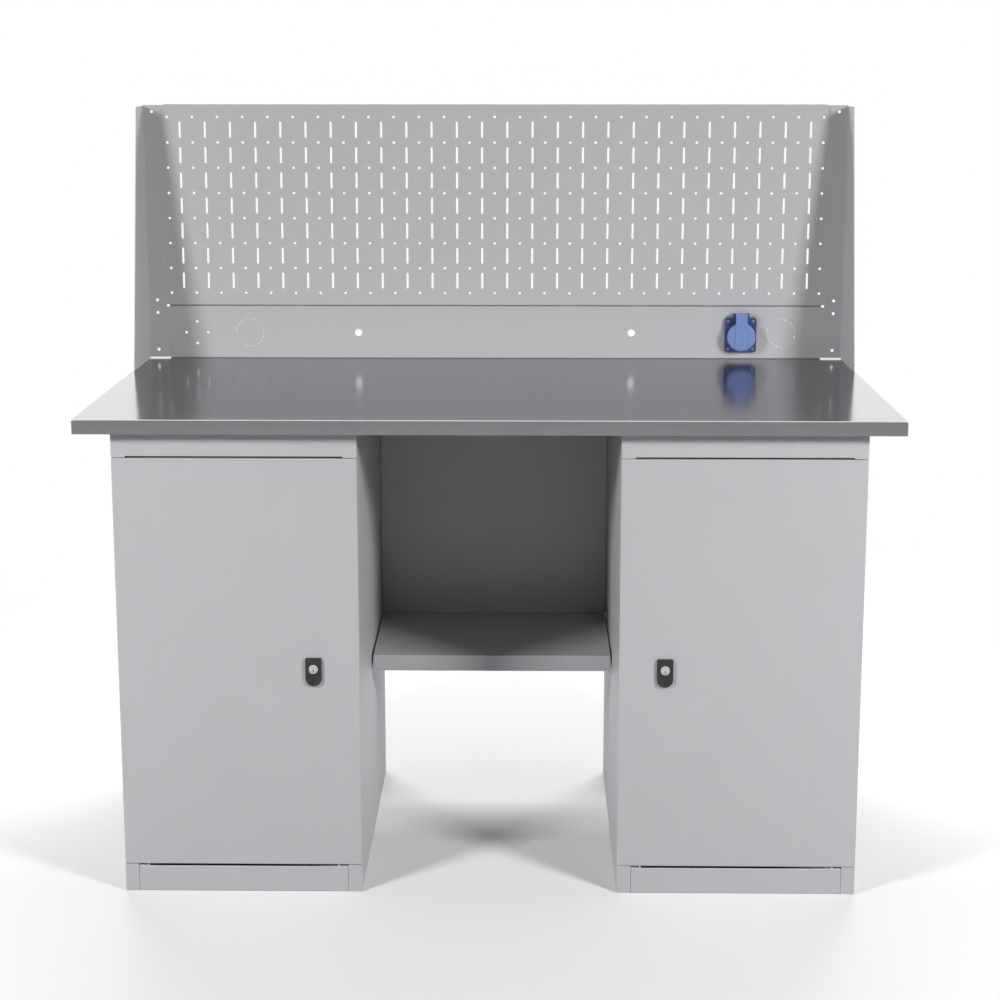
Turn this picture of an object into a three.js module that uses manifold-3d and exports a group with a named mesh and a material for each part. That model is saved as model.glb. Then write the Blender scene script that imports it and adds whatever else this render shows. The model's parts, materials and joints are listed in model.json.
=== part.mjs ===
// Steel workbench: two cupboard pedestals, a clad worktop, a knee-space shelf and a tool screen.
// Millimetres, +Z up, +X to the right, +Y to the back. The origin is on the floor under the middle.
import * as THREE from 'three';
import { mergeVertices } from 'three/addons/utils/BufferGeometryUtils.js';
import Module from 'manifold-3d';

const wasm = await Module();
wasm.setup();

// Worktop: a folded steel cover over a board core
const topWidth = 1400;
const topDepth = 700;
const topThick = 25;
const benchHeight = 850;
const topSheet = 1.5;

// Pedestals
const pedWidth = 417;
const pedDepth = 580;
const pedInset = 59;
const pedSetback = 25;
const cabSheet = 1.2;
const postWidth = 24;
const postLip = 12;
const rearReturn = 18;
const bottomReturn = 20;
const panFlange = 25;
const floorRise = 2;

// Doors, with the rail above and the plinth below in the same plane
const doorThick = 18;
const doorLip = 14;
const doorBackGap = 3;
const railHeight = 42.2;
const plinthHeight = 46.5;
const plinthDepth = 18;
const topSlit = 3.8;
const bottomSlit = 3.5;
const cornerGap = 0.8;
const plinthTabInset = 14;
const plinthTabWidth = 4;
const stiffenerWidth = 34;
const stiffenerFoot = 13;
const stiffenerDepth = 14;
const stiffenerEndGap = 6;

// Door pivots
const hingeInset = 6;
const hingeDepth = 10;
const pinRadius = 3;
const pinReach = 9;
const collarRadius = 4.4;
const collarHeight = 4;
const thrustRadius = 5.6;
const thrustHeight = 0.5;

// Key locks
const lockFromInner = 79;
const lockHeight = 409;
const plateWidth = 28;
const plateAbove = 19.4;
const plateBelow = 30.6;
const plateThick = 5;
const plateCorner = 2.5;
const dishRadius = 20;
const dishDepth = 2.4;
const dishDrop = 18.5;
const barrelRadius = 11;
const plugRadius = 8.2;
const plugProud = 1.6;
const plugChamfer = 0.9;
const keySlotWidth = 1.8;
const keySlotHeight = 9;
const keySlotDepth = 5;
const nutThick = 5;
const nutRadius = 14.5;
const studRadius = 3;
const studProud = 2;
const camThick = 2.5;
const camWidth = 16;
const camBite = 10;
const camClear = 1;

// Cupboard shelf on angle runners
const cabShelfTop = 430;
const cabShelfFlange = 25;
const cabShelfSideGap = 1;
const cabShelfFrontGap = 10;
const cabShelfRearGap = 6;
const runnerLeg = 20;

// Knee space: back panel and shelf between the pedestals
const modestyInset = 50;
const modestyDepth = 20;
const modestySideGap = 0.5;
const kneeShelfTop = 353;
const kneeShelfLip = 30;
const kneeShelfSetback = 252;
const kneeShelfSideGap = 1.5;
const kneeBoltInset = 45;
const kneeBoltProud = 7.5;

// Tool screen
const screenSheet = 1.5;
const screenInset = 24;
const panelHeight = 400;
const socketRailHeight = 106;
const seamGap = 1.4;
const bendDepth = 20;
const railFootDepth = 22;
const bendEndInset = 44;
const endNotch = 1.6;
const footNotch = 4;

// Perforation: slots on a square grid, with round holes at the middle of each square
const pitch = 50;
const slotLength = 32;
const slotWidth = 4;
const dotRadius = 2.6;

// Side brackets
const bracketInset = 1.5;
const flangeWidth = 36;
const bracketDrop = 3.4;
const bracketLift = 0.8;
const reachTop = 60;
const reachBottom = 160;
const edgeHoleRadius = 3;
const edgeHoleFromWeb = 17.5;
const edgeHoleMargin = 10.5;
const footHoleHeight = 17.5;
const railHoleDrop = 13.7;
const panelHoleDrop = 14.5;

// Cut-outs in the socket rail, measured in from the worktop's ends
const cutoutHeight = 52;
const passHoleInset = 425;
const passHoleRadius = 7.25;
const knockoutLeftInset = 206;
const knockoutRightInset = 124;
const knockoutRadius = 28;
const knockoutSlit = 0.6;
const knockoutBridge = THREE.MathUtils.degToRad(16);
const knockoutTurn = THREE.MathUtils.degToRad(15);
const glandInset = 99;
const glandCircle = 22;
const glandHoleRadius = 2.6;

// Power socket with a sprung lid
const socketInset = 206;
const socketHeight = 49;
const flangePlateWidth = 64;
const flangePlateHeight = 70;
const flangePlateThick = 8;
const flangeCorner = 6;
const collarOuter = 27.5;
const collarDepth = 10;
const cupRadius = 20;
const cupDepth = 20;
const insertThick = 4;
const insertPinPitch = 19;
const insertPinRadius = 2.6;
const rearRadius = 23.7;
const rearDepth = 23;
const lidRadius = 28.5;
const lidThick = 8;
const lidWall = 2.4;
const lidDrop = 2;
const lidBandWidth = 26;
const lidBandProud = 1.2;
const knuckleWidth = 23;
const knuckleRadius = 5.5;
const lidPinRadius = 2;
const lidPinRise = 5;
const lidPinOut = 13;
const lugWidth = 3.8;
const lugRise = 9;

// Fasteners
const boltRadius = 4;
const boltHeadRadius = 7.5;
const boltHeadHeight = 5;
const topBoltBite = 16;
const railBoltInset = 280;
const topBoltInset = 120;
const modestyScrewInset = 74;

// Clearances
const fitGap = 0.3;
const cutPast = 1;
const snap = 0.001;

// Roundness of turned and drilled shapes
const sidesFine = 14;
const sidesTurned = 8;
const sidesBolt = 6;
const sidesHex = 6;
const sidesDot = 5;
const arcSteps = 2;

// Planes and places that follow from the sizes
const frontY = -topDepth / 2;
const pedTop = benchHeight - topThick;
const faceY = frontY + pedSetback;
const doorBackY = faceY + doorThick;
const postY = doorBackY + doorBackGap;
const backY = faceY + pedDepth;
const outerX = topWidth / 2 - pedInset;
const innerX = outerX - pedWidth;
const doorTop = pedTop - railHeight - topSlit;
const doorBottom = plinthHeight + bottomSlit;
const footTop = doorBottom - cornerGap;
const earBottom = doorTop + cornerGap;
const floorTop = doorBottom + floorRise;
const hingeY = faceY + hingeDepth;
const pinHole = pinRadius + fitGap;
const boltHole = boltRadius + fitGap;
const lockPlateY = faceY - plateThick;
const camFrontY = postY + postLip + camClear;
const camBackY = camFrontY + camThick;
const camLength = lockFromInner - postWidth + camBite;
const cabShelfFrontY = camBackY + studProud + cabShelfFrontGap;
const backPanelY = backY - 2 * cabSheet;
const modestyY = backY - modestyInset;
const modestyScrewX = innerX - modestyScrewInset;
const kneeShelfFrontY = faceY + kneeShelfSetback;
const kneeShelfBackY = modestyY + modestyDepth;
const kneeBoltZ = kneeShelfTop - kneeShelfLip / 2;
const kneeBoltYs = { front: kneeShelfFrontY + kneeBoltInset, rear: modestyY - kneeBoltInset };
const screenY = topDepth / 2 - screenInset;
const railBoltX = topWidth / 2 - railBoltInset;
const railBoltY = screenY + railFootDepth / 2 + screenSheet;
const railTop = benchHeight + socketRailHeight;
const panelBottom = railTop + seamGap;
const panelTop = panelBottom + panelHeight;
const webOuterX = topWidth / 2 - bracketInset;
const webInnerX = webOuterX - screenSheet;
const sheetEndX = webInnerX - fitGap;
const bendEndX = topWidth / 2 - bendEndInset;
const edgeHoleX = webInnerX - edgeHoleFromWeb;
const panelHoleZs = [panelBottom + edgeHoleMargin, panelTop - panelHoleDrop];
const railHoleZs = [benchHeight + footHoleHeight, railTop - railHoleDrop];
const passHoleX = topWidth / 2 - passHoleInset;
const knockoutXs = [knockoutLeftInset - topWidth / 2, topWidth / 2 - knockoutRightInset];
const glandX = glandInset - topWidth / 2;
const socketX = topWidth / 2 - socketInset;
const socketZ = benchHeight + socketHeight;
const plateFrontY = screenY - flangePlateThick;
const collarFrontY = plateFrontY - collarDepth;
const cupBottomY = collarFrontY + cupDepth;
const lidBackY = collarFrontY - fitGap;
const lidFrontY = lidBackY - lidThick;
const lidZ = socketZ - lidDrop;
const lidPinY = screenY - lidPinOut;
const lidPinZ = socketZ + flangePlateHeight / 2 + lidPinRise;
const lidPinHole = lidPinRadius + fitGap;
const topBoltYs = { front: faceY + topBoltInset, rear: backY - topBoltInset };

// Finishes
const finish = (color, roughness, metalness) =>
  new THREE.MeshStandardMaterial({ color, roughness, metalness });
const greyPaint = finish(0xbab8bb, 0.55, 0);
const worktopSteel = finish(0x8d8c91, 0.25, 1);
const board = finish(0xb1966c, 0.85, 0);
const blackPlastic = finish(0x29282b, 0.45, 0);
const brightMetal = finish(0xc6c5c8, 0.3, 1);
const zincSteel = finish(0x9c9ea2, 0.4, 1);
const darkBlue = finish(0x3f5996, 0.4, 0);
const lightBlue = finish(0x7593d0, 0.4, 0);
const bluePlastic = finish(0x34497c, 0.5, 0);

// The geometry as a solid that can be joined and cut, on a fine grid so that shared planes coincide
function solid(geometry) {
  geometry.deleteAttribute('normal');
  geometry.deleteAttribute('uv');
  const place = geometry.attributes.position;
  place.array.forEach((value, i) => { place.array[i] = Math.round(value / snap) * snap; });
  const welded = mergeVertices(geometry);
  const corners = [];
  for (let i = 0; i < welded.index.count; i += 3) {
    const [a, b, c] = [0, 1, 2].map((step) => welded.index.getX(i + step));
    if (a !== b && b !== c && c !== a) corners.push(a, b, c);
  }
  const mesh = new wasm.Mesh({
    numProp: 3,
    vertProperties: new Float32Array(welded.attributes.position.array),
    triVerts: new Uint32Array(corners),
  });
  return new wasm.Manifold(mesh);
}

// A solid's surface as a geometry, with the cuts between faces of one plane cleared
function surface(shape) {
  const mesh = shape.asOriginal().simplify(snap).getMesh();
  const geometry = new THREE.BufferGeometry();
  geometry.setAttribute('position', new THREE.BufferAttribute(mesh.vertProperties, mesh.numProp));
  geometry.setIndex(new THREE.BufferAttribute(mesh.triVerts, 1));
  geometry.computeVertexNormals();
  return geometry;
}

// A block between two values on each axis, in either order
function box(x, y, z) {
  const spans = [x, y, z];
  const size = spans.map(([a, b]) => Math.abs(b - a));
  const middle = spans.map(([a, b]) => (a + b) / 2);
  return solid(new THREE.BoxGeometry(...size).translate(...middle));
}

// Axes that an outline's two coordinates and its thickness take in each plane
const planeBasis = {
  xy: [[1, 0, 0], [0, 1, 0], [0, 0, 1]],
  yz: [[0, 1, 0], [0, 0, 1], [1, 0, 0]],
  xz: [[1, 0, 0], [0, 0, 1], [0, -1, 0]],
};

// An outline, given as points or as a Shape, with a thickness across its plane
function prism(plane, outline, span) {
  const shape = outline instanceof THREE.Shape ? outline : polygon(outline);
  const depth = Math.abs(span[1] - span[0]);
  const axes = planeBasis[plane].map((axis) => new THREE.Vector3(...axis));
  const start = plane === 'xz' ? -Math.max(...span) : Math.min(...span);
  const options = { depth, bevelEnabled: false, curveSegments: arcSteps };
  const geometry = new THREE.ExtrudeGeometry(shape, options);
  geometry.applyMatrix4(new THREE.Matrix4().makeBasis(...axes));
  geometry.translate(...axes[2].multiplyScalar(start).toArray());
  return solid(geometry);
}

const points = (list) => list.map(([a, b]) => new THREE.Vector2(a, b));
const polygon = (list) => new THREE.Shape(points(list));

// Corners of a regular outline, used for drilled holes, bolts and the round perforation
function ring(a, b, radius, sides) {
  return Array.from({ length: sides }, (_, i) => {
    const angle = (2 * Math.PI * i) / sides;
    return [a + radius * Math.cos(angle), b + radius * Math.sin(angle)];
  });
}

const rectangle = ([a0, a1], [b0, b1]) => [[a0, b0], [a1, b0], [a1, b1], [a0, b1]];

// The outline moved inwards by a distance
function inset(outline, distance) {
  const turn = Math.sign(THREE.ShapeUtils.area(points(outline)));
  const inward = (from, to) => {
    const along = new THREE.Vector2(to[0] - from[0], to[1] - from[1]).normalize();
    return new THREE.Vector2(-along.y, along.x).multiplyScalar(turn);
  };
  return outline.map((point, i) => {
    const before = inward(outline.at(i - 1), point);
    const after = inward(point, outline[(i + 1) % outline.length]);
    const shift = distance / (1 + before.dot(after));
    return [point[0] + shift * (before.x + after.x), point[1] + shift * (before.y + after.y)];
  });
}

// A sheet with its edges folded from the skin towards the open side, and turned in by a lip if one is given
function tray(plane, outline, skin, open, sheet, lip = 0) {
  const way = Math.sign(open - skin);
  const cavityEnd = lip ? open - way * sheet : open + way * cutPast;
  const cavity = prism(plane, inset(outline, sheet), [skin + way * sheet, cavityEnd]);
  const folded = prism(plane, outline, [skin, open]).subtract(cavity);
  if (!lip) return folded;
  const mouth = [cavityEnd - way * cutPast, open + way * cutPast];
  return folded.subtract(prism(plane, inset(outline, lip), mouth));
}

// A turned shape about the Y axis, from radius and place pairs in rising order
function turned(profile, sides) {
  return new THREE.LatheGeometry(points(profile), sides);
}

// A turned shape standing on the Z axis
const upright = (profile, x, y) =>
  solid(turned(profile, sidesTurned).rotateX(Math.PI / 2).translate(x, y, 0));

// A hexagon-headed bolt across a plane, with its head's underside at seat
function bolt(plane, [a, b], seat, tip) {
  const way = Math.sign(tip - seat);
  const head = prism(plane, ring(a, b, boltHeadRadius, sidesHex), [seat - way * boltHeadHeight, seat]);
  return head.add(prism(plane, ring(a, b, boltRadius, sidesBolt), [seat - way * cutPast, tip]));
}

const drill = (plane, [a, b], radius, span, sides = sidesBolt) =>
  prism(plane, ring(a, b, radius, sides), span);

const bench = new THREE.Group();

function add(name, shape, material) {
  const mesh = new THREE.Mesh(surface(shape), material);
  mesh.name = name;
  bench.add(mesh);
}

// X of a place in a pedestal, from its distance to the outer or the inner wall's face
function wall(side, outer) {
  const face = side * (outer ? outerX : innerX);
  const inward = outer ? -side : side;
  return (distance) => face + inward * distance;
}

const railBoltPlaces = [-railBoltX, railBoltX].map((x) => [x, railBoltY]);
const modestyScrewPlaces = [-modestyScrewX, modestyScrewX].map((x) => [x, modestyY + modestyDepth / 2]);
const topBoltPlaces = [-1, 1].flatMap((side) =>
  Object.values(topBoltYs).map((y) => [side * (innerX + pedWidth / 2), y]));

function worktopCover() {
  const outline = rectangle([-topWidth / 2, topWidth / 2], [frontY, -frontY]);
  return railBoltPlaces.reduce(
    (shape, place) => shape.subtract(drill('xy', place, boltHole, [pedTop, benchHeight + cutPast])),
    tray('xy', outline, benchHeight, pedTop, topSheet),
  );
}

function worktopCore() {
  const halfWidth = topWidth / 2 - topSheet - fitGap;
  const halfDepth = topDepth / 2 - topSheet - fitGap;
  const top = benchHeight - topSheet;
  const fromAbove = [top - topBoltBite - fitGap, top + cutPast];
  const fromBelow = [pedTop - cutPast, pedTop + topBoltBite + fitGap];
  let shape = box([-halfWidth, halfWidth], [-halfDepth, halfDepth], [pedTop, top]);
  for (const place of railBoltPlaces) shape = shape.subtract(drill('xy', place, boltHole, fromAbove));
  for (const place of [...topBoltPlaces, ...modestyScrewPlaces]) {
    shape = shape.subtract(drill('xy', place, boltHole, fromBelow));
  }
  return shape;
}

// A side wall with its front post, rear return, bottom return and the corner foot below the door
function sidePanel(side, outer) {
  const x = wall(side, outer);
  const post = [x(0), x(postWidth)];
  const postInside = [x(postWidth - cabSheet), x(postWidth)];
  const height = [0, pedTop];
  const footHeight = [0, footTop];
  const pieces = [
    box([x(0), x(cabSheet)], [postY, backY], height),
    box(post, [postY, postY + cabSheet], height),
    box(postInside, [postY, postY + postLip], height),
    box([x(0), x(rearReturn)], [backY - cabSheet, backY], height),
    box([x(0), x(bottomReturn)], [postY, backY], [0, cabSheet]),
    box(post, [faceY, faceY + cabSheet], footHeight),
    box([x(0), x(cabSheet)], [faceY, postY + cabSheet], footHeight),
    box(postInside, [faceY, postY + cabSheet], footHeight),
    box(post, [faceY, postY + cabSheet], [footTop - cabSheet, footTop]),
  ];
  const shape = pieces.reduce((whole, piece) => whole.add(piece));
  if (outer) {
    const capSpan = [footTop - cabSheet - cutPast, footTop + cutPast];
    return shape.subtract(drill('xy', [x(hingeInset), hingeY], pinHole, capSpan, sidesTurned));
  }
  const boltSpan = [x(-cutPast), x(cabSheet + cutPast)];
  return Object.values(kneeBoltYs).reduce(
    (whole, y) => whole.subtract(drill('yz', [y, kneeBoltZ], boltHole, boltSpan)),
    shape,
  );
}

// The outline shared by the floor pan and the top panel, cut back round the two front posts
function panOutline(side) {
  const x = wall(side, true);
  const near = cabSheet + fitGap;
  const far = pedWidth - near;
  const postClear = postWidth + fitGap;
  const shoulder = postY + postLip + fitGap;
  return [
    [x(postClear), postY], [x(pedWidth - postClear), postY],
    [x(pedWidth - postClear), shoulder], [x(far), shoulder],
    [x(far), backPanelY], [x(near), backPanelY],
    [x(near), shoulder], [x(postClear), shoulder],
  ];
}

const floorPan = (side) => tray('xy', panOutline(side), floorTop, floorTop - panFlange, cabSheet);

function topPanel(side) {
  const holeSpan = [pedTop - cabSheet - cutPast, pedTop + cutPast];
  return topBoltPlaces.filter(([x]) => x * side > 0).reduce(
    (shape, place) => shape.subtract(drill('xy', place, boltHole, holeSpan)),
    tray('xy', panOutline(side), pedTop, pedTop - panFlange, cabSheet),
  );
}

function backPanel(side) {
  const x = wall(side, true);
  const across = [x(cabSheet + fitGap), x(pedWidth - cabSheet - fitGap)];
  return box(across, [backPanelY, backPanelY + cabSheet], [cabSheet + fitGap, pedTop]);
}

// The fixed front rail above the door, with ears that close the slit at both corners
function topRail(side) {
  const x = wall(side, true);
  const slit = doorTop + topSlit;
  const outline = [
    [x(0), earBottom], [x(postWidth), earBottom], [x(postWidth), slit],
    [x(pedWidth - postWidth), slit], [x(pedWidth - postWidth), earBottom], [x(pedWidth), earBottom],
    [x(pedWidth), pedTop], [x(0), pedTop],
  ];
  const earSpan = [earBottom - cutPast, earBottom + cabSheet + cutPast];
  return tray('xz', outline, faceY, postY, cabSheet)
    .subtract(drill('xy', [x(hingeInset), hingeY], pinHole, earSpan, sidesTurned));
}

// The plinth between the feet, with two tabs across the slit under the door
function plinth(side) {
  const x = wall(side, true);
  const start = postWidth + fitGap;
  const end = pedWidth - start;
  const outline = rectangle([x(start), x(end)], [0, plinthHeight]);
  const body = tray('xz', outline, faceY, faceY + plinthDepth, cabSheet);
  const tabHeight = [plinthHeight - cabSheet, doorBottom - cornerGap];
  const tabDepth = [faceY + cabSheet, faceY + plinthDepth];
  return [start + plinthTabInset, end - plinthTabInset - plinthTabWidth].reduce(
    (shape, from) => shape.add(box([x(from), x(from + plinthTabWidth)], tabDepth, tabHeight)),
    body,
  );
}

function cabinetShelf(side) {
  const x = wall(side, true);
  const gap = cabSheet + cabShelfSideGap;
  const outline = rectangle([x(gap), x(pedWidth - gap)], [cabShelfFrontY, backPanelY - cabShelfRearGap]);
  return tray('xy', outline, cabShelfTop, cabShelfTop - cabShelfFlange, cabSheet);
}

// An angle on the wall that carries the shelf's folded edge
function shelfRunner(side, outer) {
  const x = wall(side, outer);
  const top = cabShelfTop - cabShelfFlange;
  const outline = [
    [x(cabSheet), top], [x(cabSheet + runnerLeg), top], [x(cabSheet + runnerLeg), top - cabSheet],
    [x(2 * cabSheet), top - cabSheet], [x(2 * cabSheet), top - runnerLeg], [x(cabSheet), top - runnerLeg],
  ];
  return prism('xz', outline, [cabShelfFrontY, backPanelY - cabShelfRearGap]);
}

const lockX = (side) => wall(side, false)(lockFromInner);

function doorSkin(side) {
  const x = wall(side, true);
  const outline = rectangle([x(0), x(pedWidth)], [doorBottom, doorTop]);
  const pivotSpan = [doorBottom - cutPast, doorTop + cutPast];
  const skinSpan = [faceY - cutPast, faceY + cabSheet + cutPast];
  return tray('xz', outline, faceY, doorBackY, cabSheet, doorLip)
    .subtract(drill('xy', [x(hingeInset), hingeY], pinHole, pivotSpan, sidesTurned))
    .subtract(drill('xz', [lockX(side), lockHeight], barrelRadius + fitGap, skinSpan, sidesFine));
}

// An upright hat section on the inside of the door's skin
function doorStiffener(side) {
  const middle = wall(side, true)(pedWidth / 2);
  const foot = faceY + cabSheet;
  const crown = foot + stiffenerDepth;
  const half = stiffenerWidth / 2;
  const outline = [
    [-half - stiffenerFoot, foot], [-half + cabSheet, foot], [-half + cabSheet, crown - cabSheet],
    [half - cabSheet, crown - cabSheet], [half - cabSheet, foot], [half + stiffenerFoot, foot],
    [half + stiffenerFoot, foot + cabSheet], [half, foot + cabSheet], [half, crown],
    [-half, crown], [-half, foot + cabSheet], [-half - stiffenerFoot, foot + cabSheet],
  ];
  const placed = outline.map(([a, b]) => [middle + a, b]);
  const endGap = doorLip + stiffenerEndGap;
  return prism('xy', placed, [doorBottom + endGap, doorTop - endGap]);
}

// The top pivot: its collar bears under the door's folded top and its shank turns in the rail's ear
function hingePinTop(side) {
  const collarTop = doorTop - cabSheet;
  const profile = [
    [0, collarTop - collarHeight], [collarRadius, collarTop - collarHeight], [collarRadius, collarTop],
    [pinRadius, collarTop], [pinRadius, earBottom + pinReach], [0, earBottom + pinReach],
  ];
  return upright(profile, wall(side, true)(hingeInset), hingeY);
}

// The bottom pivot: a thin thrust collar carries the door on the foot's cap
function hingePinBottom(side) {
  const collarBottom = doorBottom + cabSheet;
  const profile = [
    [0, footTop - pinReach], [pinRadius, footTop - pinReach], [pinRadius, doorBottom - thrustHeight],
    [thrustRadius, doorBottom - thrustHeight], [thrustRadius, doorBottom], [pinRadius, doorBottom],
    [pinRadius, collarBottom], [collarRadius, collarBottom], [collarRadius, collarBottom + collarHeight],
    [0, collarBottom + collarHeight],
  ];
  return upright(profile, wall(side, true)(hingeInset), hingeY);
}

// The lock's black plate, square above and round below, with a finger dish and the barrel behind
function lockPlate(side) {
  const x = lockX(side);
  const half = plateWidth / 2;
  const cornerZ = lockHeight + plateAbove - plateCorner;
  const shape = new THREE.Shape();
  shape.absarc(x + half - plateCorner, cornerZ, plateCorner, 0, Math.PI / 2);
  shape.absarc(x - half + plateCorner, cornerZ, plateCorner, Math.PI / 2, Math.PI);
  shape.absarc(x, lockHeight - plateBelow + half, half, Math.PI, 2 * Math.PI);
  const dish = new THREE.SphereGeometry(dishRadius, sidesTurned, sidesFine);
  dish.translate(x, lockPlateY + dishDepth - dishRadius, lockHeight - dishDrop);
  const bore = [lockPlateY - cutPast, camFrontY];
  return prism('xz', shape, [lockPlateY, faceY])
    .add(prism('xz', ring(x, lockHeight, barrelRadius, sidesFine), [faceY - cutPast, postY]))
    .subtract(solid(dish))
    .subtract(drill('xz', [x, lockHeight], plugRadius + fitGap, bore, sidesFine));
}

function lockNut(side) {
  const nut = polygon(ring(lockX(side), lockHeight, nutRadius, sidesHex));
  nut.holes.push(new THREE.Path(points(ring(lockX(side), lockHeight, barrelRadius + fitGap, sidesFine))));
  return prism('xz', nut, [faceY + cabSheet, faceY + cabSheet + nutThick]);
}

function lockCylinder(side) {
  const front = lockPlateY - plugProud;
  const tip = camBackY + studProud;
  const profile = [
    [0, front], [plugRadius - plugChamfer, front], [plugRadius, front + plugChamfer],
    [plugRadius, camFrontY], [studRadius, camFrontY], [studRadius, tip], [0, tip],
  ];
  const plug = solid(turned(profile, sidesFine).translate(lockX(side), 0, lockHeight));
  const across = [lockX(side) - keySlotWidth / 2, lockX(side) + keySlotWidth / 2];
  const upDown = [lockHeight - keySlotHeight / 2, lockHeight + keySlotHeight / 2];
  return plug.subtract(box(across, [front - cutPast, front + keySlotDepth], upDown));
}

// The lock's cam, hanging down when open, that turns in behind the inner post
function lockCam(side) {
  const x = lockX(side);
  const half = camWidth / 2;
  const shape = new THREE.Shape();
  shape.absarc(x, lockHeight, half, 0, Math.PI);
  shape.absarc(x, lockHeight - camLength + half, half, Math.PI, 2 * Math.PI);
  shape.holes.push(new THREE.Path(points(ring(x, lockHeight, studRadius + fitGap, sidesTurned))));
  return prism('xz', shape, [camFrontY, camBackY]);
}

// The panel that closes the back of the knee space, hung from the worktop and standing on the shelf
function modestyPanel() {
  const half = innerX - modestySideGap;
  const outline = rectangle([-half, half], [kneeShelfTop, pedTop]);
  const topSpan = [pedTop - cabSheet - cutPast, pedTop + cutPast];
  return modestyScrewPlaces.reduce(
    (shape, place) => shape.subtract(drill('xy', place, boltHole, topSpan)),
    tray('xz', outline, modestyY, modestyY + modestyDepth, cabSheet),
  );
}

function kneeShelf() {
  const half = innerX - kneeShelfSideGap;
  const outline = rectangle([-half, half], [kneeShelfFrontY, kneeShelfBackY]);
  return Object.values(kneeBoltYs).reduce(
    (shape, y) => shape.subtract(drill('yz', [y, kneeBoltZ], boltHole, [-innerX, innerX])),
    tray('xy', outline, kneeShelfTop, kneeShelfTop - kneeShelfLip, cabSheet),
  );
}

// The face of a folded screen sheet, notched at its four corners where the bends stop
function notchedFace(bottom, top, bottomNotch, topNotch) {
  return polygon([
    [-sheetEndX, bottom + bottomNotch], [-bendEndX, bottom + bottomNotch], [-bendEndX, bottom],
    [bendEndX, bottom], [bendEndX, bottom + bottomNotch], [sheetEndX, bottom + bottomNotch],
    [sheetEndX, top - topNotch], [bendEndX, top - topNotch], [bendEndX, top],
    [-bendEndX, top], [-bendEndX, top - topNotch], [-sheetEndX, top - topNotch],
  ]);
}

const bend = (depth, z) => box([-bendEndX, bendEndX], [screenY, screenY + depth], z);

const slotHole = (x, z) =>
  rectangle([x - slotWidth / 2, x + slotWidth / 2], [z - slotLength / 2, z + slotLength / 2]);

// Places of a grid about the panel's middle
function grid(columns, rows) {
  const middle = (panelBottom + panelTop) / 2;
  return Array.from({ length: columns * rows }, (_, i) => [
    ((i % columns) - (columns - 1) / 2) * pitch,
    middle + (Math.floor(i / columns) - (rows - 1) / 2) * pitch,
  ]);
}

const edgeHoles = (heights, sides) =>
  heights.flatMap((z) => sides.map((side) => ring(side * edgeHoleX, z, edgeHoleRadius, sidesBolt)));

// The perforated panel: slots and round holes through one sheet, bent back along its top and bottom
function perforatedPanel() {
  const columns = Math.floor((2 * bendEndX) / pitch) + 1;
  const rows = Math.floor(panelHeight / pitch);
  const holes = [
    ...grid(columns, rows).map(([x, z]) => ring(x, z, dotRadius, sidesDot)),
    ...grid(columns - 1, rows - 1).map(([x, z]) => slotHole(x, z)),
    ...edgeHoles(panelHoleZs, [-1, 1]),
  ];
  const punchSpan = [screenY - cutPast, screenY + screenSheet + cutPast];
  const punches = holes.map((hole) => prism('xz', hole, punchSpan));
  const face = notchedFace(panelBottom, panelTop, endNotch, endNotch);
  return prism('xz', face, [screenY, screenY + screenSheet])
    .subtract(wasm.Manifold.union(punches))
    .add(bend(bendDepth, [panelBottom, panelBottom + screenSheet]))
    .add(bend(bendDepth, [panelTop - screenSheet, panelTop]));
}

// The four slits of a knock-out, with bridges left between them
function knockoutSlits(x) {
  const z = benchHeight + cutoutHeight;
  return [0, 1, 2, 3].map((quarter) => {
    const from = knockoutTurn + (quarter * Math.PI) / 2;
    const to = from + Math.PI / 2 - knockoutBridge;
    const slit = new THREE.Path();
    slit.absarc(x, z, knockoutRadius + knockoutSlit / 2, from, to, false);
    slit.absarc(x, z, knockoutRadius - knockoutSlit / 2, to, from, true);
    return slit;
  });
}

// The rail under the panel that carries the socket and stands on the worktop with its folded foot
function socketRail() {
  const z = benchHeight + cutoutHeight;
  const drilled = [
    ...[-passHoleX, passHoleX].map((x) => ring(x, z, passHoleRadius, sidesTurned)),
    ...ring(glandX, z, glandCircle, 4).map(([x, height]) => ring(x, height, glandHoleRadius, sidesBolt)),
    ...edgeHoles(railHoleZs, [-1, 1]),
    ring(socketX, socketZ, rearRadius + fitGap, sidesFine),
  ];
  const face = notchedFace(benchHeight, railTop, footNotch, endNotch);
  face.holes = [
    ...drilled.map((hole) => new THREE.Path(points(hole))),
    ...knockoutXs.flatMap(knockoutSlits),
  ];
  const rail = prism('xz', face, [screenY, screenY + screenSheet])
    .add(bend(railFootDepth, [benchHeight, benchHeight + screenSheet]))
    .add(bend(bendDepth, [railTop - screenSheet, railTop]));
  const footSpan = [benchHeight - cutPast, benchHeight + screenSheet + cutPast];
  return railBoltPlaces.reduce(
    (shape, place) => shape.subtract(drill('xy', place, boltHole, footSpan)),
    rail,
  );
}

// A tapered side web with a flange in front of the panel's and the rail's ends
function bracket(side) {
  const top = panelTop - bracketDrop;
  const webFoot = benchHeight + bracketLift;
  const web = [
    [screenY, webFoot], [screenY, top], [screenY - reachTop, top], [screenY - reachBottom, webFoot],
  ];
  const flange = polygon(rectangle(
    [side * webOuterX, side * (webInnerX - flangeWidth)], [benchHeight + footNotch, top]));
  const holes = edgeHoles([...railHoleZs, ...panelHoleZs], [side]);
  flange.holes = holes.map((hole) => new THREE.Path(points(hole)));
  return prism('yz', web, [side * webInnerX, side * webOuterX])
    .add(prism('xz', flange, [screenY - screenSheet, screenY]));
}

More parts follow.
